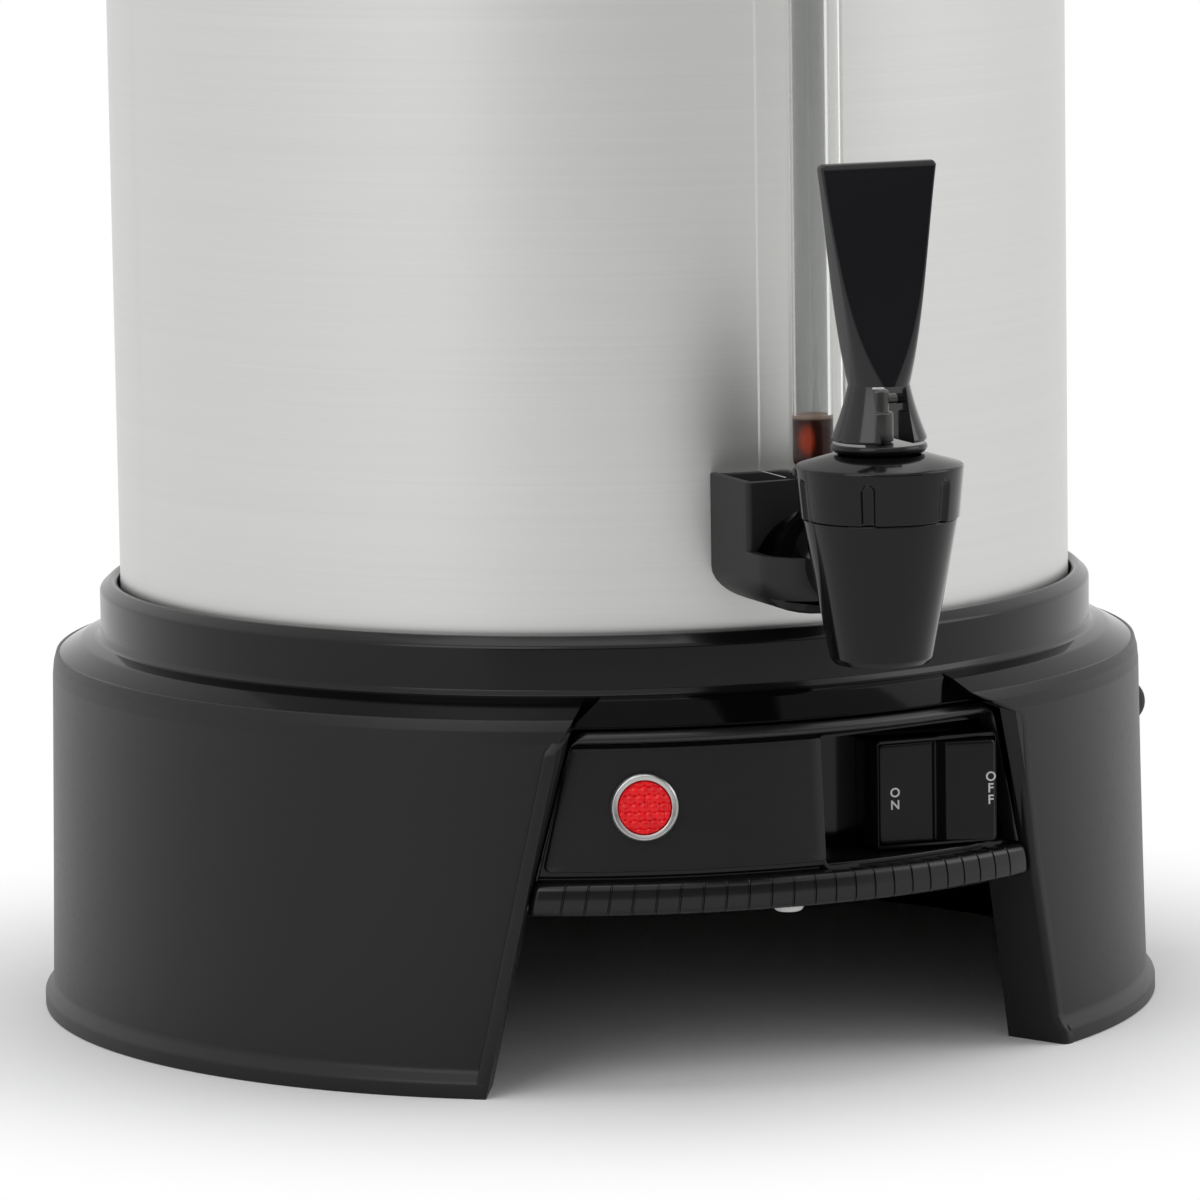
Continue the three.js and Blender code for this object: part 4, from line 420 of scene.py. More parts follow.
class Finish:
    """A material with one Principled shader. Its constants are set on the shader's own sockets, and what
    varies over the surface is worked out from Object coordinates."""

    def __init__(self, name, **constants):
        self.material = bpy.data.materials.new(name)
        self.material.use_nodes = True
        self.tree = self.material.node_tree
        self.shader = self.tree.nodes["Principled BSDF"]
        self.out = self.tree.nodes["Material Output"]
        for key, value in constants.items():
            socket = self.shader.inputs[key.replace("_", " ")]
            socket.default_value = (*value, 1.0) if isinstance(value, tuple) and len(value) == 3 else value
        self.place = self.node("ShaderNodeTexCoord").outputs["Object"]

    def node(self, kind, settings=None, **values):
        """Adds a node: its settings first, then the values or links of its sockets by name or number."""
        node = self.tree.nodes.new(kind)
        for key, value in (settings or {}).items():
            if key == "stops":
                ramp = node.color_ramp
                while len(ramp.elements) < len(value):
                    ramp.elements.new(0.5)
                for stop, (at, shade) in zip(ramp.elements, value):
                    stop.position, stop.color = at, shade
            else:
                setattr(node, key, value)
        for key, value in values.items():
            socket = node.inputs[int(key[1:])] if key[0] == "_" else node.inputs[key]
            if isinstance(value, Wire):
                value = value.socket
            if isinstance(value, bpy.types.NodeSocket):
                self.tree.links.new(value, socket)
            else:
                socket.default_value = value
        return node

    def stretched(self, stretch):
        """Object coordinates, each times its own number."""
        node = self.node("ShaderNodeVectorMath", {"operation": "MULTIPLY"}, _0=self.place, _1=stretch)
        return node.outputs[0]

    def noise(self, scale, detail=2.0, stretch=None):
        """Cloudy noise from 0 to 1, of about `scale` lumps to the metre."""
        place = self.stretched(stretch) if stretch else self.place
        node = self.node("ShaderNodeTexNoise", None, Vector=place, Scale=scale, Detail=detail)
        return Wire(self.tree, node.outputs[0])

    def axis(self, letter):
        """One of the three Object coordinates, in metres."""
        return Wire(self.tree, self.node("ShaderNodeSeparateXYZ", None, Vector=self.place).outputs[letter])

    def step(self, value, low, high):
        """0 below low, 1 above high, and a smooth step between."""
        node = self.node("ShaderNodeMapRange", {"interpolation_type": "SMOOTHSTEP"}, Value=value,
                         _1=low, _2=high)
        return Wire(self.tree, node.outputs[0])

    def mix(self, factor, first, second):
        """The first colour where the factor is 0, the second where it is 1."""
        shades = {key: (*c, 1.0) if isinstance(c, tuple) and len(c) == 3 else c
                  for key, c in (("_6", first), ("_7", second))}
        node = self.node("ShaderNodeMix", {"data_type": "RGBA"}, _0=factor, **shades)
        return Wire(self.tree, node.outputs[2])

    def feed(self, name, value):
        """Links a value to one of the shader's sockets."""
        self.tree.links.new(value.socket, self.shader.inputs[name])

    def bump(self, height, depth, strength=1.0):
        """Roughens the surface: a height from 0 to 1 stands for 0 to `depth` metres."""
        node = self.node("ShaderNodeBump", None, Height=height, Distance=depth, Strength=strength)
        self.feed("Normal", Wire(self.tree, node.outputs[0]))


def shade(rgb, times):
    """A colour made lighter or darker."""
    return tuple(float(min(1.0, c * times)) for c in rgb)


def brushed_metal(name, rgb, rough=0.45, grain=2600.0, around=True):
    """Sheet metal brushed round its axis, or along it: fine streaks in colour, gloss and relief."""
    f = Finish(name, Metallic=1.0, Roughness=rough, Anisotropic=0.25, Anisotropic_Rotation=0.25)
    fine = (6.0, 6.0, grain) if around else (grain, grain, 6.0)
    wide = (3.0, 3.0, 420.0) if around else (420.0, 420.0, 3.0)
    streak, band, cloud = f.noise(1.0, 3.0, fine), f.noise(1.0, 3.0, wide), f.noise(5.0, 2.0)
    f.feed("Base Color", f.mix(streak * 0.7 + band * 0.3, shade(rgb, 0.93), shade(rgb, 1.07)))
    f.feed("Roughness", rough - 0.05 + 0.08 * streak + 0.02 * cloud)
    f.bump(streak, 0.00001, 0.4)
    return f.material


def spun_metal(name, rgb, rough=0.24):
    """Turned metal whose fine rings run round its vertical axis."""
    f = Finish(name, Metallic=1.0, Roughness=rough)
    x, y = f.axis("X"), f.axis("Y") - AXIS_Y * MM
    away = (x * x + y * y).root()
    node = f.node("ShaderNodeCombineXYZ", None, X=away * 2400.0, Y=f.axis("Z") * 900.0)
    ring_noise = Wire(f.tree, f.node("ShaderNodeTexNoise", None, Vector=node.outputs[0], Scale=1.0,
                                     Detail=2.0).outputs[0])
    f.feed("Base Color", f.mix(ring_noise, shade(rgb, 0.88), shade(rgb, 1.08)))
    f.feed("Roughness", rough - 0.05 + 0.10 * ring_noise + 0.04 * f.noise(12.0))
    f.bump(ring_noise, 0.00001, 0.5)
    return f.material


def moulded(name, rgb, rough=0.40, grain=2200.0, depth=0.00003, wear=0.03, sheen=0.28):
    """Moulded plastic with a fine leathery grain, and faint cloudy changes of gloss and colour."""
    f = Finish(name, Roughness=rough, IOR=1.50, Specular_IOR_Level=sheen)
    fine, cloud, speck = f.noise(grain, 3.0), f.noise(14.0, 3.0), f.noise(420.0, 1.0)
    f.feed("Base Color", f.mix(cloud * 0.7 + speck * 0.3, shade(rgb, 0.85), shade(rgb, 1.18)))
    f.feed("Roughness", rough - 0.05 + 0.06 * cloud + wear * f.step(speck, 0.55, 0.75) + 0.03 * fine)
    f.bump(fine, depth, 0.45)
    return f.material


def glossy(name, rgb, rough, sheen):
    """Hard polished plastic: nearly smooth, with a trace of haze and flow marks."""
    f = Finish(name, Roughness=rough, IOR=1.50, Specular_IOR_Level=sheen)
    cloud, smear = f.noise(18.0, 3.0), f.noise(1.0, 3.0, (60.0, 60.0, 22.0))
    f.feed("Base Color", f.mix(cloud, shade(rgb, 0.88), shade(rgb, 1.14)))
    f.feed("Roughness", rough - 0.03 + 0.05 * smear + 0.03 * cloud)
    f.bump(cloud * 0.5 + f.noise(900.0, 2.0) * 0.5, 0.000016, 0.22)
    return f.material


def clear_plastic(name, rgb, bend, rough=0.05, haze=0.02):
    """Clear tube or shield: sees through, with fine drawn lines along it."""
    f = Finish(name, Base_Color=rgb, Roughness=rough, IOR=bend, Transmission_Weight=1.0)
    drawn = f.noise(1.0, 2.0, (900.0, 900.0, 14.0))
    f.feed("Roughness", rough - haze / 2 + haze * drawn)
    f.bump(drawn, 0.000012, 0.25)
    return f.material


def rubbery(name, rgb):
    """Matt rubber with a dusty bloom."""
    f = Finish(name, Roughness=0.8, IOR=1.45)
    cloud, fine = f.noise(40.0, 3.0), f.noise(1600.0, 2.0)
    f.feed("Base Color", f.mix(cloud, shade(rgb, 0.8), shade(rgb, 1.5)))
    f.feed("Roughness", 0.72 + 0.12 * cloud + 0.06 * fine)
    f.bump(fine, 0.00004, 0.5)
    return f.material


def jewelled(name, rgb):
    """Red moulded lens, lit through by its own facets."""
    f = Finish(name, Roughness=0.16, IOR=1.45, Specular_IOR_Level=0.3, Emission_Strength=0.16)
    cell = f.node("ShaderNodeTexVoronoi", {"feature": "F1"}, Vector=f.place, Scale=380.0)
    spot = Wire(f.tree, cell.outputs["Distance"])
    f.feed("Base Color", f.mix(spot, shade(rgb, 1.12), shade(rgb, 0.9)))
    f.feed("Emission Color", f.mix(spot, (1.0, 0.03, 0.03), (0.5, 0.0, 0.01)))
    f.feed("Roughness", 0.12 + 0.08 * spot)
    return f.material


def liquid(name, rgb):
    """Dark coffee behind glass, with a painted highlight, a red glow painted where light would shine through,
    and a pale rim at its surface.
    """
    f = Finish(name, Roughness=0.5, IOR=1.34, Specular_IOR_Level=0.04)
    x, y, z = (f.axis(letter) for letter in "XYZ")
    # Painted highlight: a red spot painted into the base colour where light would shine through the coffee.
    lit = f.step(((x + 0.0034) ** 2.0 * 2.0 + (z - 0.1845) ** 2.0 * 0.35).root(), 0.0034, 0.0010)
    body = f.mix(lit * (0.75 + 0.25 * f.noise(300.0)), shade(rgb, 1.0), (0.42, 0.045, 0.012))
    f.feed("Base Color", f.mix(f.step(z, 0.1899, 0.1908), body, (0.30, 0.22, 0.18)))
    f.feed("Roughness", 0.45 + 0.1 * f.noise(300.0))
    return f.material


def finishes():
    """Makes every finish once and keeps it by name."""
    made = {m.name: m for m in bpy.data.materials if m.name.startswith("urn_")}
    if made:
        return made
    c = bpy.context.scene.urn_colours
    rgb = {key: tuple(getattr(c, key)) for key in c.bl_rna.properties.keys()
           if key not in ("rna_type", "name")}
    for material in (
        brushed_metal("urn_tank_metal", rgb["metal"]),
        spun_metal("urn_spun_metal", shade(rgb["metal"], 1.02)),
        spun_metal("urn_steel", rgb["steel"], 0.28),
        moulded("urn_moulding", rgb["moulding"]),
        moulded("urn_bracket_moulding", shade(rgb["moulding"], 0.8), 0.5, 2600.0, sheen=0.32),
        glossy("urn_collar", shade(rgb["moulding"], 0.6), 0.2, 0.26),
        # Painted shade: the shoulder takes a darker copy of the moulding with weak reflections, standing in
        # for the dark reflection that lies on it.
        glossy("urn_shoulder", shade(rgb["moulding"], 0.25), 0.08, 0.08),
        moulded("urn_frame", shade(rgb["moulding"], 0.9), 0.33, 2400.0, 0.00002, sheen=0.42),
        moulded("urn_plate", rgb["plate"], 0.34, 3200.0, 0.00002, sheen=0.34),
        glossy("urn_gloss", rgb["gloss"], 0.09, 0.24),
        glossy("urn_rocker", shade(rgb["gloss"], 0.9), 0.24, 0.2),
        # Painted light: the lever takes the gloss moulding lightened 2.6 times, standing in for the light its
        # facets catch.
        glossy("urn_lever", shade(rgb["gloss"], 2.6), 0.12, 0.34),
        glossy("urn_ledge", rgb["gloss"], 0.26, 0.34),
        # Steel darkened to a seventh: partly the stem's own dark tone, partly painted shade that keeps the
        # stem and pin from showing bright reflections in the lever's arch.
        spun_metal("urn_dark_steel", shade(rgb["steel"], 0.14), 0.34),
        clear_plastic("urn_glass", (0.64, 0.65, 0.65), 1.26),
        clear_plastic("urn_shield", (0.97, 0.97, 0.96), 1.16, 0.10, 0.06),
        jewelled("urn_lens", rgb["lens"]),
        rubbery("urn_rubber", (0.018, 0.018, 0.019)),
        moulded("urn_white", (0.78, 0.78, 0.76), 0.45, 1800.0, 0.00002),
        moulded("urn_phenolic", (0.105, 0.042, 0.018), 0.5, 900.0, 0.00004),
        liquid("urn_coffee", rgb["coffee"]),
        moulded("urn_letters", rgb["letters"], 0.5, 3000.0, 0.00001),
    ):
        made[material.name] = material
    return made


# Pieces.

class BuildPiece(bpy.types.Operator):
    """Base of the operators that make pieces."""
    bl_options = {"REGISTER", "UNDO"}

    def execute(self, context):
        scene = context.scene
        self.make(finishes(), lengths(scene.urn_tank), lengths(scene.urn_base), lengths(scene.urn_faucet))
        return {"FINISHED"}


class URN_OT_tank(BuildPiece):
    """Make the tank: a thin drawn pan with a well in its floor and a rolled rim."""
    bl_idname = "urn.tank"
    bl_label = "Tank"

    def make(self, look, tank, base, faucet):
        """The pan's section is turned round the axis: outside going up, over the rolled rim, inside down."""
        r, w, low, top = tank.radius, tank.wall, tank.floor, tank.top
        well = low - 12
        put("tank_pan", [spun([
            (0, well, 0), (36, well, 3), (36, low, 1.5), (r, low, 8), (r, top - 6, 1.2),
            (r + 2.2, top - 5.6, 1.6), (r + 4.4, top - 4.8, 2.0), (r + 4.4, top - 1.2, 2.4),
            (r + 1.2, top, 2.2), (r - w, top - 0.6, 0.6), (r - w, low + w, 7), (34.7, low + w, 2.4),
            (34.7, well + w, 2), (0, well + w, 0),
        ], 7, 288)], look["urn_tank_metal"], "tank")


class URN_OT_base(BuildPiece):
    """Make the base moulding: collar, shoulder, skirt and foot, with the two sides of its opening."""
    bl_idname = "urn.base"
    bl_label = "Base Moulding"

    def make(self, look, tank, base, faucet):
        """The collar is a full ring. Shoulder and skirt are sections carried from one side of the opening
        round the back to the other, and the collar's fall to the panel is carried across the opening. Each
        side of the opening is a bar whose section is moved up along that side."""
        top, low, foot = base.skirt_top, base.skirt_foot, base.foot
        collar = spun([
            (150.6, 111.8, 0), (149.7, 112.2, 0.6), (base.collar, 113.6, 0.6), (base.collar, 125.8, 1.7),
            (145.2, 129.0, 1.4), (143.4, 127.6, 0.8), (143.4, 113.0, 0.3), (126, 113.0, 0.6),
            (126, 110.2, 0.6), (143.0, 110.2, 1), (148.6, 108.2, 0),
        ], 5, 256)
        around = ((lambda r, z: right_angle(r, z, np.interp(z, [95, 101], [3.6, 1.6]))),
                  (lambda r, z: FULL - side_angle(r, z, 1.6 + 0.5 * np.clip(z - 100, 0, None))))
        across = (lambda r, z: -side_angle(r, z, 2.6)), (lambda r, z: side_angle(r, z, 2.6))
        shoulder = swept(soften([
            (150.6, 111.8, 0), (154.6, 110.6, 6), (161.7, 106.8, 0), (160.6, 104.6, 0), (153.5, 107.4, 0),
            (148.6, 108.2, 0),
        ], 6), *around, 240)
        fall = swept(soften([
            (150.6, 111.8, 0), (152.0, 110.9, 2.5), (155.3, 103.1, 0.8), (153.2, 102.9, 0.4),
            (148.6, 108.2, 0),
        ], 6), *across, 120)
        skirt = swept(soften([
            (161.3, 107.2, 0.25), (162.2, 107.1, 0.6), (163.05, 104.0, 3.0), (top, 100.5, 4),
            (low, 7.4, 3.0), (foot, 4.4, 2.0), (foot, 0, 0.5), (low - WALL, 0, 0.5), (low - WALL, 8, 0), (top - WALL, 102, 3),
            (160.5, 104.7, 0),
        ], 7), *around, 240)
        put("base_moulding", [skirt, self.side(base, True), mirrored(self.side(base, False))],
            look["urn_moulding"], "base_shell")
        put("base_collar", [collar], look["urn_collar"], body="urn", sharp=40)
        # The shoulder and fall take the darkened moulding: painted shade.
        put("base_shoulder", [shoulder, fall], look["urn_shoulder"], body="urn",
            sharp=40)

    def side(self, base, right):
        """One side of the opening: at each height an outline of steps sideways from the opening's edge and of
        radii, with the return wall running in. The left one has a raised band outside, the right one a broad
        round edge."""
        low, top, foot = base.skirt_foot, base.skirt_top, base.foot
        heights = np.concatenate([[0, 0.4], np.linspace(1.2, 49.6, 22), np.linspace(50.4, 60, 8),
                                  np.linspace(62, 97.4, 18), np.linspace(98.4, 103.6, 10)])
        deepest = 158.8 if right else 157.5
        rows = []
        for z in heights:
            skirt = np.interp(z, [8, 100.5, SKIRT_END_Z], [low, top, SKIRT_END_R])
            inner = np.interp(z, [50, 51.5, 57, 60, SKIRT_END_Z], [146.6, 147.2, 155.4, deepest, deepest])
            if right:
                bend = np.interp(z, [95, 101], [3.2, 0.7])
                face = np.interp(z, [4.4, 7.4, 100.5, SKIRT_END_Z], [foot, low, top, SKIRT_END_R]) + 0.03
                section = soften([(WALL, inner, 0.3), (0, inner, 0.3), (0, face, bend), (BAND, face, 0.1),
                                  (BAND, skirt - 4, 0), (WALL, skirt - 4, 0)], 8)
                t = right_angle(section[:, 1], z, section[:, 0])
            else:
                proud = np.interp(z, [2.4, 97.4, 100.4, SKIRT_END_Z], [foot, 164.7, top + 0.1, 162.4])
                edge = min(0.7, max(0.12, (proud - skirt) * 0.6))
                section = soften([(WALL, inner, 0.3), (0, inner, 0.3), (0, proud - 0.02, 0.7),
                                  (BAND, proud, edge), (BAND, skirt - 1.2, 0), (WALL, skirt - 1.2, 0)], 5)
                t = side_angle(section[:, 1], z, section[:, 0] + 0.5 * max(0.0, z - 100))
            rows.append(polar(section[:, 1], t, z))
        return skin(np.stack(rows))


def panel_radius(z):
    """The panel's face leans: its radius grows towards its foot."""
    return 154.2 + (98.9 - z) * PANEL_LEAN


def on_panel(shell, angle, z):
    """Stands a shell, made upright at the origin, on the leaning face at an angle round the axis."""
    laid = moved(turned(frontward(shell), 0, -math.degrees(math.atan(PANEL_LEAN))), 0, -panel_radius(z), z)
    return turned(laid, 2, angle)


class URN_OT_panel(BuildPiece):
    """Make the control panel: brow, bead, face, pocket and apron, with the blank plate."""
    bl_idname = "urn.panel"
    bl_label = "Control Panel"

    def make(self, look, tank, base, faucet):
        """Face and apron are sections carried between the two sides of the opening. The frame is one band up
        the left side, over the top and down the right, and the pocket a tray whose edge lies on the face."""
        face = swept(soften([(panel_radius(PANEL_HEAD_Z), PANEL_HEAD_Z, 0),
                             (panel_radius(PANEL_FOOT_Z), PANEL_FOOT_Z, 0.8), (155.2, 61.2, 0.4),
                             (151.8, 98.6, 0)]),
                     lambda r, z: -side_angle(r, z, -GAP - 1), lambda r, z: np.arcsin(5.0 / r), 64)
        apron = swept(soften([(156, 61.9, 0.5), (156, 52, 0.8), (137, 52, 0.8), (137, 54, 0.5),
                              (153.4, 54, 0.5), (153.4, 61.9, 0.3)]),
                      lambda r, z: -side_angle(r, z, -GAP - 0.4),
                      lambda r, z: right_angle(r, z, -GAP - 0.4), 96)
        put("panel_moulding", [face, apron, self.tray()], look["urn_gloss"], "control_panel")
        put("panel_frame", [self.rim()], look["urn_frame"], body="urn", sharp=50)
        put("panel_plate", [self.plate()], look["urn_plate"], "blank_plate")

    def rim(self):
        """The frame's outer and inner edge are drawn on the panel unrolled, with the same number of points.
        The section runs from one to the other, standing out roundly from the face."""
        outer, inner = self.edge(-GAP, 102.6, 5.0), self.edge(-GAP - 1.7, 99.3, 3.6)
        rows = []
        for share, lift in ((0.0, -3.0), (0.0, 0.9), (0.05, 1.7), (0.16, 2.5), (0.34, 3.1), (0.55, 3.35),
                            (0.76, 3.3), (0.92, 2.9), (1.0, 2.2), (1.0, -3.0)):
            line = outer * (1 - share) + inner * share
            face = panel_radius(line[:, 1])
            proud = lift * np.interp(line[:, 1], [PANEL_FOOT_Z, 98, 101], [0.8, 0.82, 1.0])
            rows.append(polar(face + proud, line[:, 0] / face, line[:, 1]))
        return skin(np.stack(rows, 1))

    def edge(self, grow, top, corner):
        """One edge of the frame: arc lengths on the face and heights, with fixed counts along each run."""
        reach = lambda law, z: float(law(panel_radius(z), z, grow)) * panel_radius(z)
        bends = soften([(-reach(side_angle, 61.3), 61.3, 0), (-reach(side_angle, top), top, corner),
                        (reach(side_angle, top), top, corner), (reach(right_angle, 61.3), 61.3, 0)], 12)
        runs = {0: 26, 13: 90, 26: 26}
        line = []
        for i in range(len(bends) - 1):
            count = runs.get(i, 1)
            line += [bends[i] + (bends[i + 1] - bends[i]) * k / count for k in range(count)]
        return np.array(line + [bends[-1]])

    def tray(self):
        """The switch's pocket. Its outline is drawn at the face and at the back, inside and outside."""
        left, low, high, back, sunk = 6.0, PANEL_FOOT_Z, 97.6, -128.2, -130.0
        z = np.array([low, high])
        right = np.sin(np.minimum(side_angle(panel_radius(z), z, -GAP - BEAD),
                                  right_angle(panel_radius(z), z, -GAP))) * panel_radius(z)
        corners = [(left, low), (right[0], low), (right[1], high), (left, high)]
        wall = np.array([[-1, -1], [1, -1], [1, 1], [-1, 1]]) * 1.4
        inside = soften([(*corner, 2.0) for corner in corners], 6)
        outside = soften([(*corner, 2.6) for corner in np.array(corners) + wall], 6)
        middle = inside.mean(0)

        def face(outline, depth):
            return -np.sqrt((panel_radius(outline[:, 1]) - depth) ** 2 - outline[:, 0] ** 2)

        rows = []
        for outline, y in ((middle + (outside - middle) * 0.02, back), (outside, back),
                           (outside, face(outside, 0.5)), (inside * 0.4 + outside * 0.6, face(outside, 0.1)),
                           (inside, face(inside, 0.3)), (inside, sunk - 0.6),
                           (middle + (inside - middle) * 0.985, sunk),
                           (middle + (inside - middle) * 0.02, sunk)):
            rows.append(np.column_stack([outline[:, 0], np.broadcast_to(y, len(outline)), outline[:, 1]]))
        return skin(np.stack(rows))

    def plate(self):
        """The blank plate: an outline with round corners, drawn in towards its middle in steps and bent round
        the leaning face, with a soft edge in front."""
        def edge(z):
            return -math.sin(float(side_angle(panel_radius(z), z, -2 * GAP - BEAD))) * panel_radius(z)

        right, low, high, thick = 5.7, 63.2, 98.0, 0.9
        outline = soften([(right, low, 1.6), (right, high, 1.0), (edge(high), high, 1.0),
                          (edge(low), low, 1.6)], 5)
        outline = divided(np.concatenate([outline, outline[:1]]), 2.5)[:-1]
        middle = outline.mean(0)
        shares = ((0.02, 0.1), (0.5, 0.1), (1.0, 0.1), (1.0, 0.55), (0.9965, 0.8),
                  *((share, thick) for share in (0.99, 0.9, 0.7, 0.5, 0.3, 0.15, 0.02)))
        rows = []
        for share, lift in shares:
            at = middle + (outline - middle) * share
            r = panel_radius(at[:, 1]) + lift
            rows.append(np.column_stack([at[:, 0], -np.sqrt(r ** 2 - at[:, 0] ** 2), at[:, 1]]))
        return skin(np.stack(rows))


class URN_OT_lamp(BuildPiece):
    """Make the pilot lamp: a polished ring and a red lens with small facets."""
    bl_idname = "urn.lamp"
    bl_label = "Pilot Lamp"

    def make(self, look, tank, base, faucet):
        """The ring is a turned section. The lens is a disc of rings and spokes whose height is a shallow dome
        plus small domes on a honeycomb of centres."""
        foot, half, pitch, spokes = 1.2, 7.6, 2.75, 160
        put("lamp_ring", [on_panel(spun([
            (7.4, foot, 0), (9.6, foot, 0), (9.6, foot + 1.7, 0.5), (9.0, foot + 2.4, 0.5),
            (7.8, foot + 2.2, 0.4), (7.4, foot + 1.5, 0.3),
        ], 6, 96), LAMP_ANGLE, LAMP_Z)], look["urn_steel"], "lamp_bezel", sharp=50)
        share = np.sqrt(np.linspace(0, 1, 60))[:, None]
        t = (np.arange(spokes) * FULL / spokes)[None, :]
        x, y = half * share * np.cos(t), half * share * np.sin(t)
        between = pitch * 0.866
        row = np.round(y / between)
        shift = np.where(row % 2 == 0, 0.0, 0.5)
        near_x, near_y = x - (np.round(x / pitch - shift) + shift) * pitch, y - row * between
        dome = np.clip(1 - (near_x ** 2 + near_y ** 2) / (pitch * 0.6) ** 2, 0, 1)
        height = foot + 1.25 + 0.7 * (1 - share ** 2) + 0.95 * dome ** 0.7 * (share < 0.96)
        upper = np.stack([x, y, height], -1)
        floor = np.stack([x[-1], y[-1], np.full(spokes, foot)], -1)[None]
        middle = floor * np.array([0, 0, 1.0])
        jewel = skin(np.concatenate([upper, floor, middle]), caps=False)
        put("lamp_jewel", [on_panel(jewel, LAMP_ANGLE, LAMP_Z)], look["urn_lens"], "lamp_lens",
            sharp=60)



class URN_OT_switch(BuildPiece):
    """Make the switch: its housing, the dished rocker, and the letters ON and OFF."""
    bl_idname = "urn.switch"
    bl_label = "Rocker Switch"

    def make(self, look, tank, base, faucet):
        """The housing's outlines run from the back over the lip into the window. The rocker's outline is two
        slanting faces that meet in a valley between round ends, carried up its height."""
        outer, window = rounded(19, 16, 1.4), rounded(18.3, 14.7, 0.5)
        lip = [(rounded(18.8, 15.8, 1.3), 144.4), (rounded(18.6, 15.5, 1.2), 144.6),
               (rounded(18.45, 14.85, 0.5), 144.6)]
        rows = [(outer, 130.3), (outer, 143.9), *lip, (window, 144.3), (window, 133.0)]
        grid = np.stack([np.column_stack([o[:, 0] + SWITCH_X, np.full(len(o), -y), o[:, 1] + SWITCH_Z])
                         for o, y in rows])
        body = frontward(pillow(rounded(16.5, 12, 1.5), 108, 131, 0.8))
        blade = frontward(pillow(rounded(0.4, 3.2, 0.3), 101, 109, 0.2))
        shells = [skin(grid), moved(body, SWITCH_X, 0, SWITCH_Z)]
        shells += [moved(blade, SWITCH_X + side * 10, 0, SWITCH_Z) for side in (-1, 1)]
        put("switch_frame", shells, look["urn_gloss"], "switch_housing")
        left, ridge, valley, right = zip(ROCKER_X, ROCKER_Y)
        section = soften([(-17.2, 4.0, 0.8), (*left, 1.2), (*ridge, 0.35), (0.2, -2.4, 0.5), (*valley, 0.7),
                          (*right, 1.4), (17.2, 4.0, 0.8)], 7)
        ends, insets = [13.3, 13.9, 14.25, 14.4], [0, 0.12, 0.45, 1.0]
        z = np.concatenate([-np.array(ends[::-1]), np.linspace(-12, 12, 9), ends])
        scales = 1 - np.interp(np.abs(z), ends, insets) / ROCKER_X[-1]
        rocker = moved(turned(tower([section * scale for scale in scales], z), 2, LEAN),
                       SWITCH_X, PIVOT_Y, SWITCH_Z)
        put("rocker_bar", [rocker], look["urn_rocker"], "rocker")
        self.letters(look)

    def letters(self, look):
        """Stacked letters: the text is made a mesh, then laid on the half of the rocker that carries it."""
        points, faces = [], []
        for word, across, pitch, rise in (("ON", -12.4, 3.55, -1.35), ("OFF", 15.8, 3.35, 0.5)):
            for i, letter in enumerate(word):
                curve = bpy.data.curves.new("letter", "FONT")
                curve.body, curve.size, curve.extrude, curve.offset = letter, 3.75, 0.03, 0.07
                curve.align_x, curve.align_y = "CENTER", "CENTER"
                text = bpy.data.objects.new("letter", curve)
                mesh = bpy.data.meshes.new_from_object(text)
                at = np.empty(len(mesh.vertices) * 3)
                mesh.vertices.foreach_get("co", at)
                at = at.reshape(-1, 3)
                at[:, :2] -= (at[:, :2].max(0) + at[:, :2].min(0)) / 2
                down = (len(word) - 1) / 2 * pitch - i * pitch + rise
                x = across + at[:, 0]
                y = np.interp(x, ROCKER_X, ROCKER_Y) - 0.02 - at[:, 2]
                base = sum(len(p) for p in points)
                points.append(np.stack([x, y, down + at[:, 1]], -1))
                faces += [[v + base for v in polygon.vertices] for polygon in mesh.polygons]
                bpy.data.objects.remove(text)
                bpy.data.meshes.remove(mesh)
                bpy.data.curves.remove(curve)
        shell = moved(turned((np.concatenate(points), faces), 2, LEAN), SWITCH_X, PIVOT_Y, SWITCH_Z)
        put("rocker_letters", [shell], look["urn_letters"], body="rocker")


class URN_OT_ledge(BuildPiece):
    """Make the grooved ledge under the panel, and the clip below it."""
    bl_idname = "urn.ledge"
    bl_label = "Ledge"

    def make(self, look, tank, base, faucet):
        """The ledge's section is carried between the sides of the opening. Its front is pushed in by a groove
        every few degrees, and drawn back in a quarter round at both ends."""
        profile = soften([(156.4, 51.4, 0), (base.ledge - 0.5, 51.4, 2.2), (base.ledge, 56, 6),
                          (base.ledge - 0.5, 60.6, 2.2), (156.4, 60.6, 0)], 6)
        r, z = profile.T
        limit_r, bend, half_groove, deep = 163.0, 2.6, math.radians(0.13), 0.5
        end = side_angle(limit_r, z, -GAP - 0.2)[None, :]
        end_right = right_angle(limit_r, z, -GAP - 0.2)[None, :]
        centres = (np.arange(base.grooves) - (base.grooves - 1) / 2) * base.groove_step
        local = np.radians(np.array([-0.13, -0.09, -0.05, 0, 0.05, 0.09, 0.13]))
        share = np.concatenate([(centres[:, None] + local).ravel(), (centres[:-1] + centres[1:]) / 2])
        limit = float(end.max())
        cap = limit - bend / limit_r * (1 - np.cos(np.linspace(0, math.pi / 2, 9)))
        share = np.sort(np.concatenate([share[np.abs(share) < cap.min() - 0.002], cap, -cap]))[:, None]
        near = np.abs(share - centres[None, :]).min(1)[:, None]
        groove = deep * np.clip(1 - (near / half_groove) ** 2, 0, 1) ** 0.5
        inside = np.clip((limit - np.abs(share)) * limit_r / bend, 0, 1)
        curl = bend * (1 - np.sqrt(np.clip(1 - (1 - inside) ** 2, 0, 1)))
        front = np.clip((r - 157.0) / 4.0, 0, 1)[None, :]
        t = share * (np.where(share > 0, end_right, end) / limit)
        put("grooved_ledge", [skin(polar(r - (groove + curl) * front, t, z))], look["urn_ledge"],
            "bumper_ledge")
        put("clip_button", [spun([
            (0, 47.1, 0), (4.3, 47.1, 1.4), (4.3, 50, 0.4), (2, 50, 0.2), (2, 56.9, 0.8), (0, 58.9, 0),
        ], 5, 48, -144)], look["urn_white"], "panel_clip")


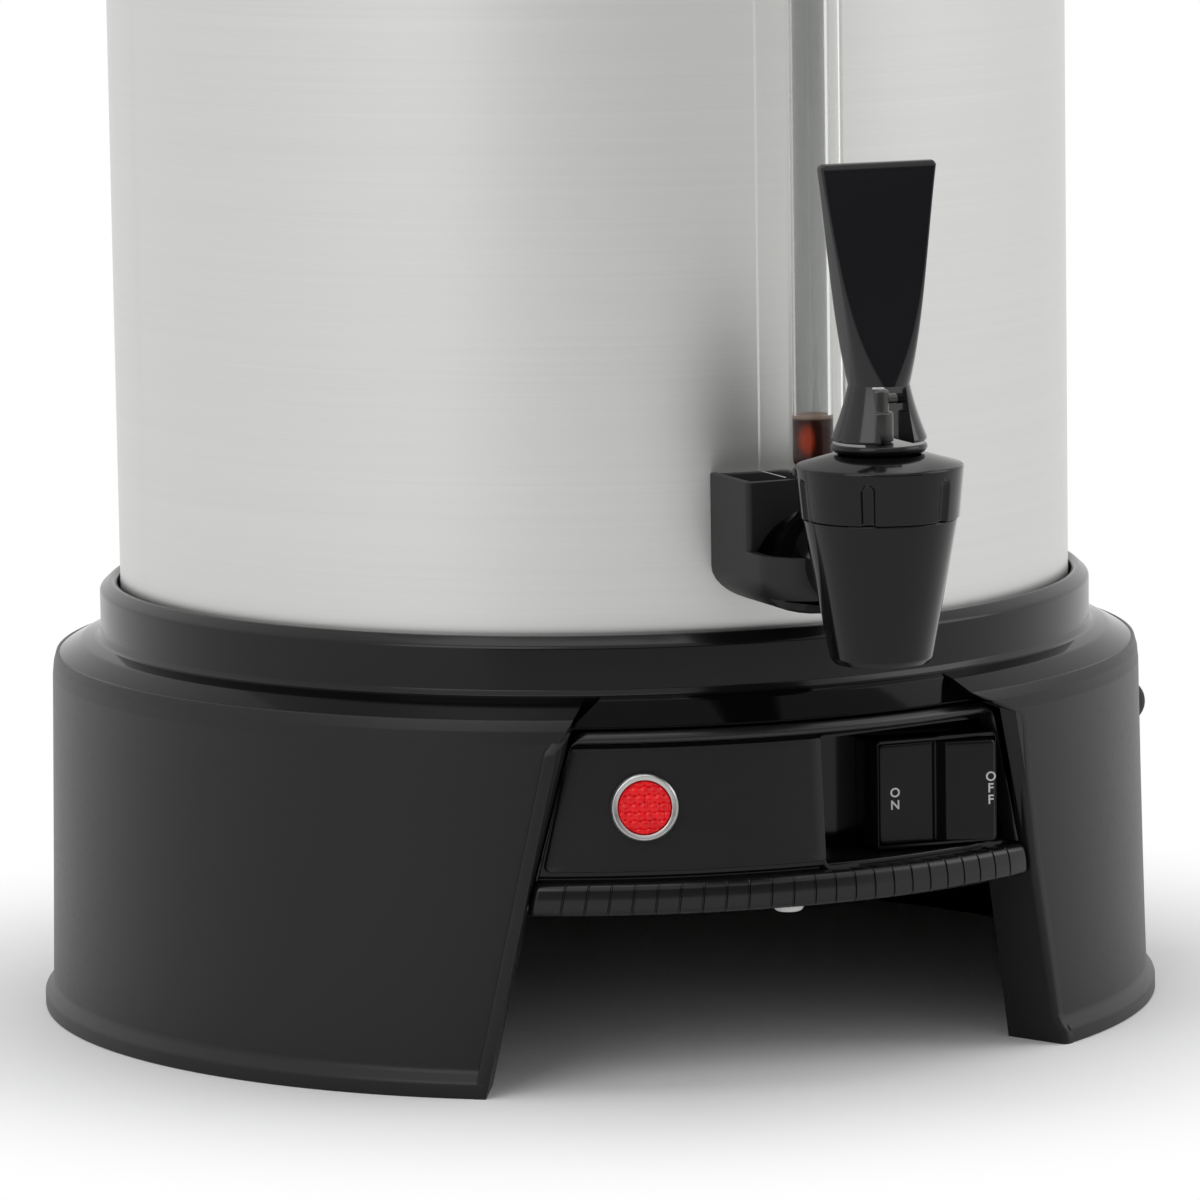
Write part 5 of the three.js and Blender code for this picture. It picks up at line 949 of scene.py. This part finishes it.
class URN_OT_bracket(BuildPiece):
    """Make the gauge bracket: a box on the tank with a rounded nose round the shank."""
    bl_idname = "urn.bracket"
    bl_label = "Gauge Bracket"

    def make(self, look, tank, base, faucet):
        """Wall of the box: a ribbon bent round three sides, which reaches down to the nose at the sides and
        to an arch in front, with a fourth wall on the tank. Nose: a section that follows a half ellipse is
        carried round a rounded outline."""
        put("bracket_moulding", [self.box(tank.radius), self.nose(tank.radius), self.back(tank.radius)],
            look["urn_bracket_moulding"], "gauge_bracket")

    def path(self, half, front, corner, back, count=14):
        """The outline seen from above, from the left end on the tank round the front to the right end."""
        t = np.linspace(0, math.pi / 2, count)
        left = np.column_stack([np.full(9, -half), np.linspace(back, front + corner, 9)])
        bend = np.column_stack([-half + corner * (1 - np.cos(t)), front + corner * (1 - np.sin(t))])
        front_line = np.column_stack([np.linspace(-half + corner, 0, 22), np.full(22, front)])
        side = np.concatenate([left[:-1], bend[:-1], front_line])
        return np.concatenate([side, side[::-1][1:] * np.array([-1, 1])])

    def box(self, tank_r):
        """The upper walls, 2.4 thick."""
        top, back = 173.6, -140.6
        outer, inner = self.path(BRACKET_HALF, -167.4, 1.6, back), self.path(18.8, -165.0, 0.6, back)
        arch = 145 + np.sqrt(np.clip(20.4 ** 2 - outer[:, 0] ** 2, 0, None))
        in_front = (outer[:, 1] < -165.8) & (np.abs(outer[:, 0]) < 18.4)
        low = np.where(in_front, np.maximum(arch, NOSE_Z), NOSE_Z)
        outer, inner = on_tank(outer, tank_r), on_tank(inner, tank_r)
        ridge = (outer + inner) / 2
        climb = [(outer, 0), (outer, 0.02), (outer, 0.3), (outer, 0.6), (outer, 0.985), (ridge, 1),
                 (inner, 0.985), (inner, 0.5), (inner, 0.0)]
        rows = [np.column_stack([line, low + (top - low) * share]) for line, share in climb]
        return skin(np.stack(rows, 1))

    def back(self, tank_r):
        """The box's back wall, bent to lie on the tank."""
        inner, outer = tank_r + 0.3, tank_r + 1.9
        return swept(soften([(inner, NOSE_Z, 0), (outer, NOSE_Z, 0), (outer, 173.3, 0.5),
                             (inner, 173.3, 0.2)], 4),
                     lambda r, z: -np.arcsin(18.9 / r), lambda r, z: np.arcsin(18.9 / r), 24)

    def nose(self, tank_r):
        """The lower shell: straight down to a half ellipse, then in under the shank as far as its slot. It
        runs all the way round the half ellipse beside the box, and less than a third of it in front."""
        outer = self.path(BRACKET_HALF, -189.4, 15.0, -140.6)
        tangent = np.gradient(outer, axis=0)
        tangent /= np.linalg.norm(tangent, axis=1)[:, None]
        inward = np.column_stack([-tangent[:, 1], tangent[:, 0]])
        turn = np.radians(90.0 - 62.0 * smooth((-171.0 - outer[:, 1]) / 5.5))

        def level(a, b, share):
            """One row: at share None the rim, else that share of the way round the half ellipse."""
            angle = turn * (share or 0)
            flat = on_tank(outer + inward * (BRACKET_HALF - a * np.cos(angle))[:, None], tank_r)
            z = np.full(len(flat), NOSE_Z) if share is None else NOSE_BEND_Z - b * np.sin(angle)
            return np.column_stack([flat, z])

        shares = [None, *np.linspace(0, 1, 10)]
        rows = [level(BRACKET_HALF, 11.5, share) for share in shares]
        rows += [level(19.0, 9.4, share) for share in reversed(shares)]
        return skin(np.stack(rows, 1))


class URN_OT_gauge(BuildPiece):
    """Make the sight gauge: glass, shield, cap, seat and the coffee in the glass."""
    bl_idname = "urn.gauge"
    bl_label = "Sight Gauge"

    def make(self, look, tank, base, faucet):
        """Glass and coffee are turned sections, the shield a thin bent strip and the cap a rounded block."""
        tube = put("sight_tube", [spun([
            (0, 176.4, 0), (6, 176.4, 3.4), (6, 437, 0.5), (4.6, 437, 0.5), (4.6, 177.9, 2.6), (0, 177.9, 0),
        ], 6, 96, GAUGE_Y)], look["urn_glass"], "gauge_glass")
        coffee = put("sight_coffee", [spun([
            (0, 176.8, 0), (5.7, 176.8, 3.2), (5.7, 191.3, 0.1), (5.0, 190.9, 0.4), (4.0, 190.6, 0.6),
            (0, 190.5, 0),
        ], 5, 72, GAUGE_Y)], look["urn_coffee"], body="urn")
        put("sight_seat", [spun([
            (0, 162.3, 0), (4.2, 162.3, 0.8), (4.2, 173.9, 0), (6.1, 173.9, 0.5), (6.1, 176.1, 0.6),
            (0, 176.1, 0),
        ], 4, 48, GAUGE_Y)], look["urn_rubber"], "gauge_seat")
        shield = put("sight_shield", [self.shield()], look["urn_shield"], "gauge_guard")
        for piece in (tube, shield):
            piece.visible_shadow = piece.visible_diffuse = False
        unreflected(tube, coffee, shield)
        outline = soften([(-10.8, -174, 5), (10.8, -174, 5), (10.8, -142.0, 0), (0, -142.4, 0),
                          (-10.8, -142.0, 0)], 7)
        middle, outlines = np.array([0.0, -150.0]), []
        for share in (0.94, 1.0, 1.0, 0.985, 0.93):
            flat = middle + (outline - middle) * share
            flat[:, 1] = np.where(outline[:, 1] > -143, -np.sqrt(142.6 ** 2 - flat[:, 0] ** 2), flat[:, 1])
            outlines.append(flat)
        put("sight_cap", [tower(outlines, (429.0, 430.2, 443.4, 444.4, 445.0))], look["urn_moulding"],
            "gauge_cap")

    def shield(self):
        """A strip 1.2 thick bent round three sides of the tube."""
        def bent(half, front, corner):
            t = np.linspace(0, math.pi / 2, 9)
            bend = np.column_stack([-half + corner * (1 - np.cos(t)), front + corner * (1 - np.sin(t))])
            line = np.concatenate([[(-half, -146.2)], bend])
            return np.concatenate([line, line[::-1] * np.array([-1, 1])])

        outline = np.concatenate([bent(8.6, -171.8, 4.2), bent(7.4, -170.6, 3.0)[::-1]])
        heights = (173.9, 174.1, 300.0, 435.8, 436.0)
        return tower([outline] * len(heights), heights)


class URN_OT_faucet(BuildPiece):
    """Make the faucet: cone, fluted nut, ring, stem and spring seat."""
    bl_idname = "urn.faucet"
    bl_label = "Faucet"

    def make(self, look, tank, base, faucet):
        """All are turned sections. The nut's wall is pushed in by round-ended hollows spaced round it."""
        y = -faucet.out
        cone = spun([
            (9, 127.2, 0.5), (faucet.cone_low - 1.4, 127.2, 0.7), (faucet.cone_low, 128.8, 1.8),
            (faucet.cone_top, 167.4, 0.5), (18.6, 167.4, 0.1), (18.6, 176.5, 0.4), (14.8, 176.5, 0.4),
            (14.8, 142.5, 0.6), (9, 142.5, 0.8),
        ], 6, 192, y)
        socket = spun([(9.8, 178.4, 0.4), (12.8, 178.4, 0.8), (12.8, 196.0, 0), (9.8, 196.0, 0)], 5, 96)
        put("faucet_cone", [cone, moved(frontward(socket), 0, 0, SHANK_Z)], look["urn_gloss"],
            "faucet_body")
        put("fluted_nut", [moved(self.nut(faucet), 0, y, 0)], look["urn_gloss"], "bonnet_nut")
        put("bonnet_collar", [spun([
            (3.36, 185, 0), (11.2, 185, 0.6), (12.4, 185.6, 0.8), (13.4, 186.8, 0.9), (12.9, 188, 0.7),
            (3.36, 188, 0),
        ], 6, 144, y)], look["urn_gloss"], "bonnet_ring")
        # Stem and pin take the darkened steel: partly their own dark tone, partly painted shade.
        put("stem_rod", [spun([
            (0, 146.5, 0), (7, 146.5, 0.4), (7, 148.1, 0.4), (3.3, 148.1, 0.6), (3.3, 188.3, 0.1),
            (3.9, 188.3, 0.3), (3.9, 196.4, 0.6), (2.7, 196.4, 0.3), (2.7, 202.6, 0.9), (0, 202.6, 0),
        ], 5, 72, y)], look["urn_dark_steel"], "valve_stem")
        pin = spun([(0, -8.5, 0), (1.4, -8.5, 0.3), (1.4, 8.5, 0.3), (0, 8.5, 0)], 3, 36)
        put("hinge_pin", [moved(rightward(pin), 0, y, PIN_Z)], look["urn_dark_steel"], "lever_pin")

    def nut(self, faucet):
        """The wall's radius less the depth of the nearest hollow, which is a half round that ends in a round
        some way above the foot. The first hollow stands a little to the right of the front."""
        top, half, deep, end_z, first_at = faucet.nut, 1.95, 1.25, 177.0, math.radians(27.7)
        profile = soften([
            (18.9, 167.5, 0.1), (top - 1.4, 167.5, 0.35), (top, 182.0, 1.0), (12.8, 185.0, 1.0),
            (3.36, 185.0, 0.2), (3.36, 180, 0.2), (18.9, 180, 0.2),
        ], 7)
        r, z = profile.T
        seam = next(i for i in range(len(r) - 1) if r[i] > 20 and z[i] < 182 and z[i + 1] - z[i] > 5)
        more = np.linspace(0, 1, 30)[1:-1][:, None]
        wall = profile[seam] * (1 - more) + profile[seam + 1] * more
        r, z = np.concatenate([profile[:seam + 1], wall, profile[seam + 1:]]).T
        t = (np.arange(432) * FULL / 432)[:, None]
        pitch = FULL / max(1, faucet.flutes)
        near = (t - first_at + pitch / 2) % pitch - pitch / 2
        gone = np.sqrt((near * top) ** 2 + np.clip(z - end_z, 0, None) ** 2) / half
        outside = (r > 19.5) & (z < 181) & (faucet.flutes > 0)
        depth = deep * np.sqrt(np.clip(1 - gone ** 2, 0, 1)) * outside
        return skin(polar(r - depth, t, z), wrap_rows=True)


class URN_OT_lever(BuildPiece):
    """Make the pull lever: two flared lobes astride the stem, and a blade that widens to its flat top."""
    bl_idname = "urn.lever"
    bl_label = "Lever"

    def make(self, look, tank, base, faucet):
        """Blade: rectangles with round corners, stacked; with s the share of the way up, the half width grows
        evenly, the half thickness falls with the power 1.5 of 1 - s and the corner with its fourth power."""
        top, low, waist, half_top = faucet.lever_top, 204.0, 8.5, faucet.lever_width / 2
        rise, rounding = top - 1.2 - low, ((0.12, 0.3), (0.36, 0.75), (0.66, 1.05), (0.9, 1.2))
        levels = [(s, 0, s * rise) for s in np.linspace(0, 1, 40)]
        levels += [(1.0, inset, rise + more) for inset, more in rounding]
        rows = []
        for s, inset, _ in levels:
            half_w = waist + (half_top - waist) * s - inset
            half_t = 1.9 + 6.6 * (1 - s) ** 1.5 - inset
            corner = min(0.75 + 7.75 * (1 - s) ** 4, half_t * 0.999)
            rows.append(self.outline(half_w, half_t, corner))
        blade = tower(rows, [low + height for _, _, height in levels])
        shells = [moved(shell, 0, -faucet.out, 0) for shell in (blade, self.lobe(), mirrored(self.lobe()))]
        # The lever's finish is a lightened copy of the gloss moulding: painted light.
        unreflected(put("lever_blade", shells, look["urn_lever"], "lever", sharp=24))

    def outline(self, half_w, half_t, corner, steps=12):
        """A rectangle about the origin with round corners, always with the same number of points."""
        t = np.linspace(0, math.pi / 2, steps + 1)
        parts = []
        for quarter, (a, b) in enumerate([(1, 1), (-1, 1), (-1, -1), (1, -1)]):
            angle = t + quarter * math.pi / 2
            parts.append(np.column_stack([a * (half_w - corner) + corner * np.cos(angle),
                                          b * (half_t - corner) + corner * np.sin(angle)]))
        return np.concatenate(parts)

    def lobe(self):
        """One lobe: at each height the part of a round disc that lies beyond the slot."""
        foot, top, slot = 188.6, 204, 5.0
        heights = np.concatenate([foot + np.array([0, 0.1, 0.35, 0.8]), np.linspace(190, top, 12)])
        radii = np.interp(heights, [foot, foot + 0.8, top], [13.1, 13.1, 8.5])
        radii[:3] -= np.array([0.8, 0.42, 0.12])
        radii[4:] -= 0.35 * np.sin(np.linspace(0, math.pi, 12))
        rows = []
        for r in radii:
            limit = math.acos(min(1.0, slot / r))
            t = np.linspace(-limit, limit, 33)
            arc = np.column_stack([np.maximum(r * np.cos(t), slot), r * np.sin(t)])
            chord = np.column_stack([np.full(9, slot), np.linspace(arc[-1, 1], arc[0, 1], 11)[1:-1]])
            rows.append(np.concatenate([arc, chord]))
        return tower(rows, heights)


class URN_OT_gland(BuildPiece):
    """Make the cord gland: a round rubber dome on the right side of the base."""
    bl_idname = "urn.gland"
    bl_label = "Cord Gland"

    def make(self, look, tank, base, faucet):
        """A turned section laid down to the right: bore, neck, flange and a half-round dome."""
        bore, flange, long = 3.7, 9.3, 13.8
        t = np.linspace(0, math.acos(bore / flange), 18)
        dome = np.column_stack([flange * np.cos(t), 170 + long * np.sin(t)])
        section = np.concatenate([[(bore, 150.0), (6.2, 150.0), (6.2, 164.5), (flange, 164.5)], dome])
        put("gland_dome", [moved(rightward(lathe(section, 96)), 0, 0, GLAND_Z)], look["urn_rubber"],
            "cord_gland")


class URN_OT_handles(BuildPiece):
    """Make the two handles, bent bars on either side of the tank."""
    bl_idname = "urn.handles"
    bl_label = "Handles"

    def make(self, look, tank, base, faucet):
        """A soft rectangle is carried along a bent line from one foot to the other; at both ends the
        bar is trimmed to the tank's round wall."""
        bar = self.bar(tank)
        for side, shell in (("right", bar), ("left", mirrored(bar))):
            put("grip_" + side, [shell], look["urn_moulding"], "handle_" + side)

    def bar(self, tank):
        """The right handle: its half width is a little less along the grip than at the feet."""
        r, far = tank.radius, tank.radius + 34.4
        line = soften([(r - 14, -43.5, 0), (far, -43.5, 11), (far, 43.5, 11), (r - 14, 43.5, 0)], 12)
        line = divided(line, 3)
        tangent = np.gradient(line, axis=0)
        tangent /= np.linalg.norm(tangent, axis=1)[:, None]
        outward = np.column_stack([tangent[:, 1], -tangent[:, 0]])
        half = 8.5 - smooth((line[:, 0] - r - 6) / 26)
        section = self.section()
        wide = section[None, :, 0] * half[:, None]
        grid = np.empty((len(line), len(section), 3))
        grid[:, :, :2] = line[:, None, :] + outward[:, None, :] * wide[..., None]
        grid[:, :, 2] = tank.handle_height + section[None, :, 1] * 12
        wall = np.sqrt(np.clip((r + 0.1) ** 2 - grid[..., 1] ** 2, 0, None))
        grid[..., 0] = np.maximum(grid[..., 0], wall)
        return skin(grid)

    def section(self):
        """The bar's section: a soft superellipse, one unit each way."""
        t = np.arange(48) * FULL / 48
        c, s = np.cos(t), np.sin(t)
        return np.column_stack([np.sign(c) * np.abs(c) ** 0.62, np.sign(s) * np.abs(s) ** 0.62])


class URN_OT_lid(BuildPiece):
    """Make the lid, a spun dome with a plug and a hem, and its knob."""
    bl_idname = "urn.lid"
    bl_label = "Lid and Knob"

    def make(self, look, tank, base, faucet):
        """The dome's height falls with the square of the way out from its flat middle; the section is doubled
        inside by the sheet's thickness. The knob is a turned section."""
        seat, r, dome = tank.top + 0.2, tank.lid_radius, tank.lid_dome
        top, wall = seat + 4 + dome, 1.2
        share = np.linspace(0, 1, 30)
        over = np.column_stack([26 + share * 104, top - dome * share ** 2])
        under = over[::-1] - np.array([0, wall])
        rim = soften([(131, over[-1, 1] - 0.3, 0), (139.4, seat + 1.7, 2.2), (r - 1.5, seat + 1.4, 1.4),
                      (r, seat - 0.4, 1.2), (r, seat - 5, 0.5), (r - 1.2, seat - 5, 0.5),
                      (r - 1.2, seat, 0.8),
                      (139.4, seat, 0.6), (139.4, seat - 17, 0.5), (138.2, seat - 17, 0.5),
                      (138.2, seat + 0.6, 1.0), (131, under[0, 1] - 0.3, 0)], 5)
        section = np.concatenate([[(2.7, top)], over, rim, under, [(2.7, top - wall)]])
        put("lid_dome", [lathe(section, 256)], look["urn_spun_metal"], "lid")
        low = top + 0.1
        put("knob_turned", [spun([
            (2.46, low, 0.2), (19, low, 1.2), (17.6, low + 4.6, 2.0), (12.2, low + 9.2, 6),
            (11, low + 14, 6), (12.5, low + 24, 6), (20.5, low + 28, 3.5), (23, low + 32.5, 3.4), (20.5, low + 37.5, 4.5),
            (11, low + 40, 8), (0, low + 40, 0), (0, low + 20, 0), (2.46, low + 20, 0.2),
        ], 7, 144)], look["urn_moulding"], "lid_knob")


def seen(tree):
    """1 for rays from the camera, off a glossy piece or through a clear one, else 0."""
    rays = tree.nodes.new("ShaderNodeLightPath")
    camera, glossy, clear = (Wire(tree, rays.outputs[f"Is {kind} Ray"])
                             for kind in ("Camera", "Glossy", "Transmission"))
    return camera.most(glossy).most(clear)


class URN_OT_inside(BuildPiece):
    """Give the hidden and small CAD parts their finishes."""
    bl_idname = "urn.inside"
    bl_label = "Inside Parts"

    def make(self, look, tank, base, faucet):
        """Each node keeps its mesh, and its slots take a finish."""
        kept = {
            "urn_gloss": ("faucet_shank",),
            "urn_steel": ("bottom_pan", "center_stud", "stud_nut", "warm_heater", "shank_nut",
                          "faucet_spring", "handle_screw_left_front", "handle_screw_left_rear",
                          "handle_screw_right_front", "handle_screw_right_rear", "knob_screw",
                          "pump_washer"),
            "urn_spun_metal": ("brew_heater", "coffee_basket", "basket_cover", "pump_tube", "pump_foot"),
            "urn_phenolic": ("thermostat", "limit_switch"),
            "urn_rubber": ("tank_gasket", "shank_washer", "seat_cup"),
            "urn_moulding": ("gland_nut",),
            "urn_white": ("lamp_body",),
        }
        for finish, names in kept.items():
            for name in names:
                for slot in frame["nodes"][name].material_slots:
                    slot.material = look[finish]


class URN_OT_stage(bpy.types.Operator):
    """Make the floor, the lamps, the dark card and the camera."""
    bl_idname = "urn.stage"
    bl_label = "Studio"
    bl_options = {"REGISTER", "UNDO"}

    def execute(self, context):
        scene, s = context.scene, context.scene.urn_stage
        for name in ("Cube", "Light", "Camera"):
            if name in bpy.data.objects:
                bpy.data.objects.remove(bpy.data.objects[name])
        self.floor(s.floor)
        self.card()
        self.world(scene)
        for name, place, size, power in (
            ("left_softbox", (-2.0, -1.5, 1.9), 1.8, 22.0), ("right_softbox", (2.2, -0.9, 1.5), 1.6, 15.0),
            ("top_softbox", (0.1, 0.3, 2.6), 2.2, 26.0),
        ):
            light = bpy.data.lights.new(name, "AREA")
            light.shape, light.size, light.energy = "SQUARE", size, power
            lamp = bpy.data.objects.new(name, light)
            lamp.location = place
            lamp.rotation_euler = self.toward(np.array(place), np.array([0.0, 0.0, 0.2]))
            scene.collection.objects.link(lamp)
        data = bpy.data.cameras.new("camera")
        data.lens, data.sensor_width, data.clip_end = s.lens, 36.0, 100.0
        camera = bpy.data.objects.new("camera", data)
        camera.location = s.camera
        camera.matrix_world = self.stand(np.array(s.camera), s.azimuth, s.pitch, s.roll)
        scene.collection.objects.link(camera)
        scene.camera = camera
        scene.view_settings.view_transform = "Standard"
        return {"FINISHED"}

    def toward(self, place, target):
        """The turn that points a lamp at a target."""
        return Vector((target - place).tolist()).to_track_quat("-Z", "Y").to_euler()

    def stand(self, place, azimuth, pitch, roll):
        """The camera's matrix: it looks towards +Y turned by the azimuth, down by the pitch, then leans."""
        sin, cos = math.sin(-azimuth), math.cos(-azimuth)
        ahead = np.array([sin * math.cos(pitch), cos * math.cos(pitch), -math.sin(pitch)])
        right = np.array([cos, -sin, 0.0])
        up = np.cross(right, ahead)
        leaned = right * math.cos(roll) - up * math.sin(roll)
        raised = up * math.cos(roll) + right * math.sin(roll)
        columns = np.column_stack([leaned, raised, -ahead, place])
        return Matrix([list(map(float, row)) for row in columns] + [[0, 0, 0, 1]])

    def sheet(self, name, grid, material):
        """A thin sheet of the studio, from a grid of points in metres."""
        points, faces = skin(grid, wrap_columns=False, caps=False)
        mesh = bpy.data.meshes.new(name)
        mesh.from_pydata(points.tolist(), [], faces)
        mesh.materials.append(material)
        sheet = bpy.data.objects.new(name, mesh)
        bpy.context.scene.collection.objects.link(sheet)
        return sheet

    def floor(self, size):
        """A wide flat sheet. Near the object it takes light and shadow; farther off it fades to the white of
        the background."""
        near, far = 0.16, 0.31
        f = Finish("floor_paper", Roughness=0.75, Specular_IOR_Level=0.2)
        cloud = f.noise(5.0, 2.0)
        f.feed("Base Color", f.mix(cloud, (0.90, 0.90, 0.905), (0.93, 0.93, 0.935)))
        f.bump(f.noise(700.0, 2.0), 0.00004, 0.15)
        away = (f.axis("X") ** 2.0 + (f.axis("Y") - AXIS_Y * MM) ** 2.0).root()
        white = f.node("ShaderNodeEmission", None, Color=(1, 1, 1, 1), Strength=1.0)
        mixed = f.node("ShaderNodeMixShader", None, _0=seen(f.tree) * f.step(away, near, far),
                       _1=f.shader.outputs[0], _2=white.outputs[0])
        f.tree.links.new(mixed.outputs[0], f.out.inputs["Surface"])
        line = np.linspace(-size / 2, size / 2, 9)
        x, y = np.meshgrid(line, line, indexing="xy")
        self.sheet("floor", np.stack([x, y, np.zeros_like(x)], -1), f.material)

    def card(self):
        """A dark card in front, bent round the object, which only reflections see."""
        radius, low, high = 2.8, 0.01, 0.85
        f = Finish("card_cloth", Roughness=0.9, Specular_IOR_Level=0.1)
        f.feed("Base Color", f.mix(f.noise(30.0), (0.03, 0.03, 0.03), (0.06, 0.06, 0.06)))
        t = np.radians(np.linspace(-46, 34, 20))
        card = self.sheet("dark_card", polar(radius, t, np.array([[low], [high]])), f.material)
        card.visible_camera = card.visible_shadow = False

    def world(self, scene):
        """White for the rays that see it, and softer for the light that it gives."""
        world = bpy.data.worlds.new("studio")
        scene.world = world
        world.use_nodes = True
        back = world.node_tree.nodes["Background"]
        back.inputs["Color"].default_value = (1, 1, 1, 1)
        world.node_tree.links.new((0.5 + seen(world.node_tree) * 0.5).socket, back.inputs["Strength"])


OPERATORS = (
    URN_OT_tank, URN_OT_base, URN_OT_panel, URN_OT_lamp, URN_OT_switch, URN_OT_ledge, URN_OT_bracket,
    URN_OT_gauge, URN_OT_faucet, URN_OT_lever, URN_OT_gland, URN_OT_handles, URN_OT_lid, URN_OT_inside,
    URN_OT_stage,
)
GROUPS = (("urn_tank", UrnTankSizes), ("urn_base", UrnBaseSizes), ("urn_faucet", UrnFaucetSizes),
          ("urn_colours", UrnColours), ("urn_stage", UrnStageSizes))


class URN_PT_build(bpy.types.Panel):
    """Lists the pieces of the urn, and their sizes and colours."""
    bl_label = "Coffee Urn"
    bl_space_type = "VIEW_3D"
    bl_region_type = "UI"
    bl_category = "Urn"

    def draw(self, context):
        for operator in OPERATORS:
            self.layout.operator(operator.bl_idname)
        for key, group in GROUPS:
            box = self.layout.box()
            for name in group.__annotations__:
                box.prop(getattr(context.scene, key), name)


def register():
    for key, group in GROUPS:
        bpy.utils.register_class(group)
        setattr(bpy.types.Scene, key, PointerProperty(type=group))
    for item in (*OPERATORS, URN_PT_build):
        bpy.utils.register_class(item)


def unregister():
    for item in (URN_PT_build, *reversed(OPERATORS)):
        bpy.utils.unregister_class(item)
    for key, group in reversed(GROUPS):
        delattr(bpy.types.Scene, key)
        bpy.utils.unregister_class(group)


def main():
    register()
    for operator in OPERATORS:
        group, name = operator.bl_idname.split(".")
        result = getattr(getattr(bpy.ops, group), name)()
        if result != {"FINISHED"}:
            raise RuntimeError(f"{operator.bl_label} was not made")


if __name__ == "__main__":
    main()
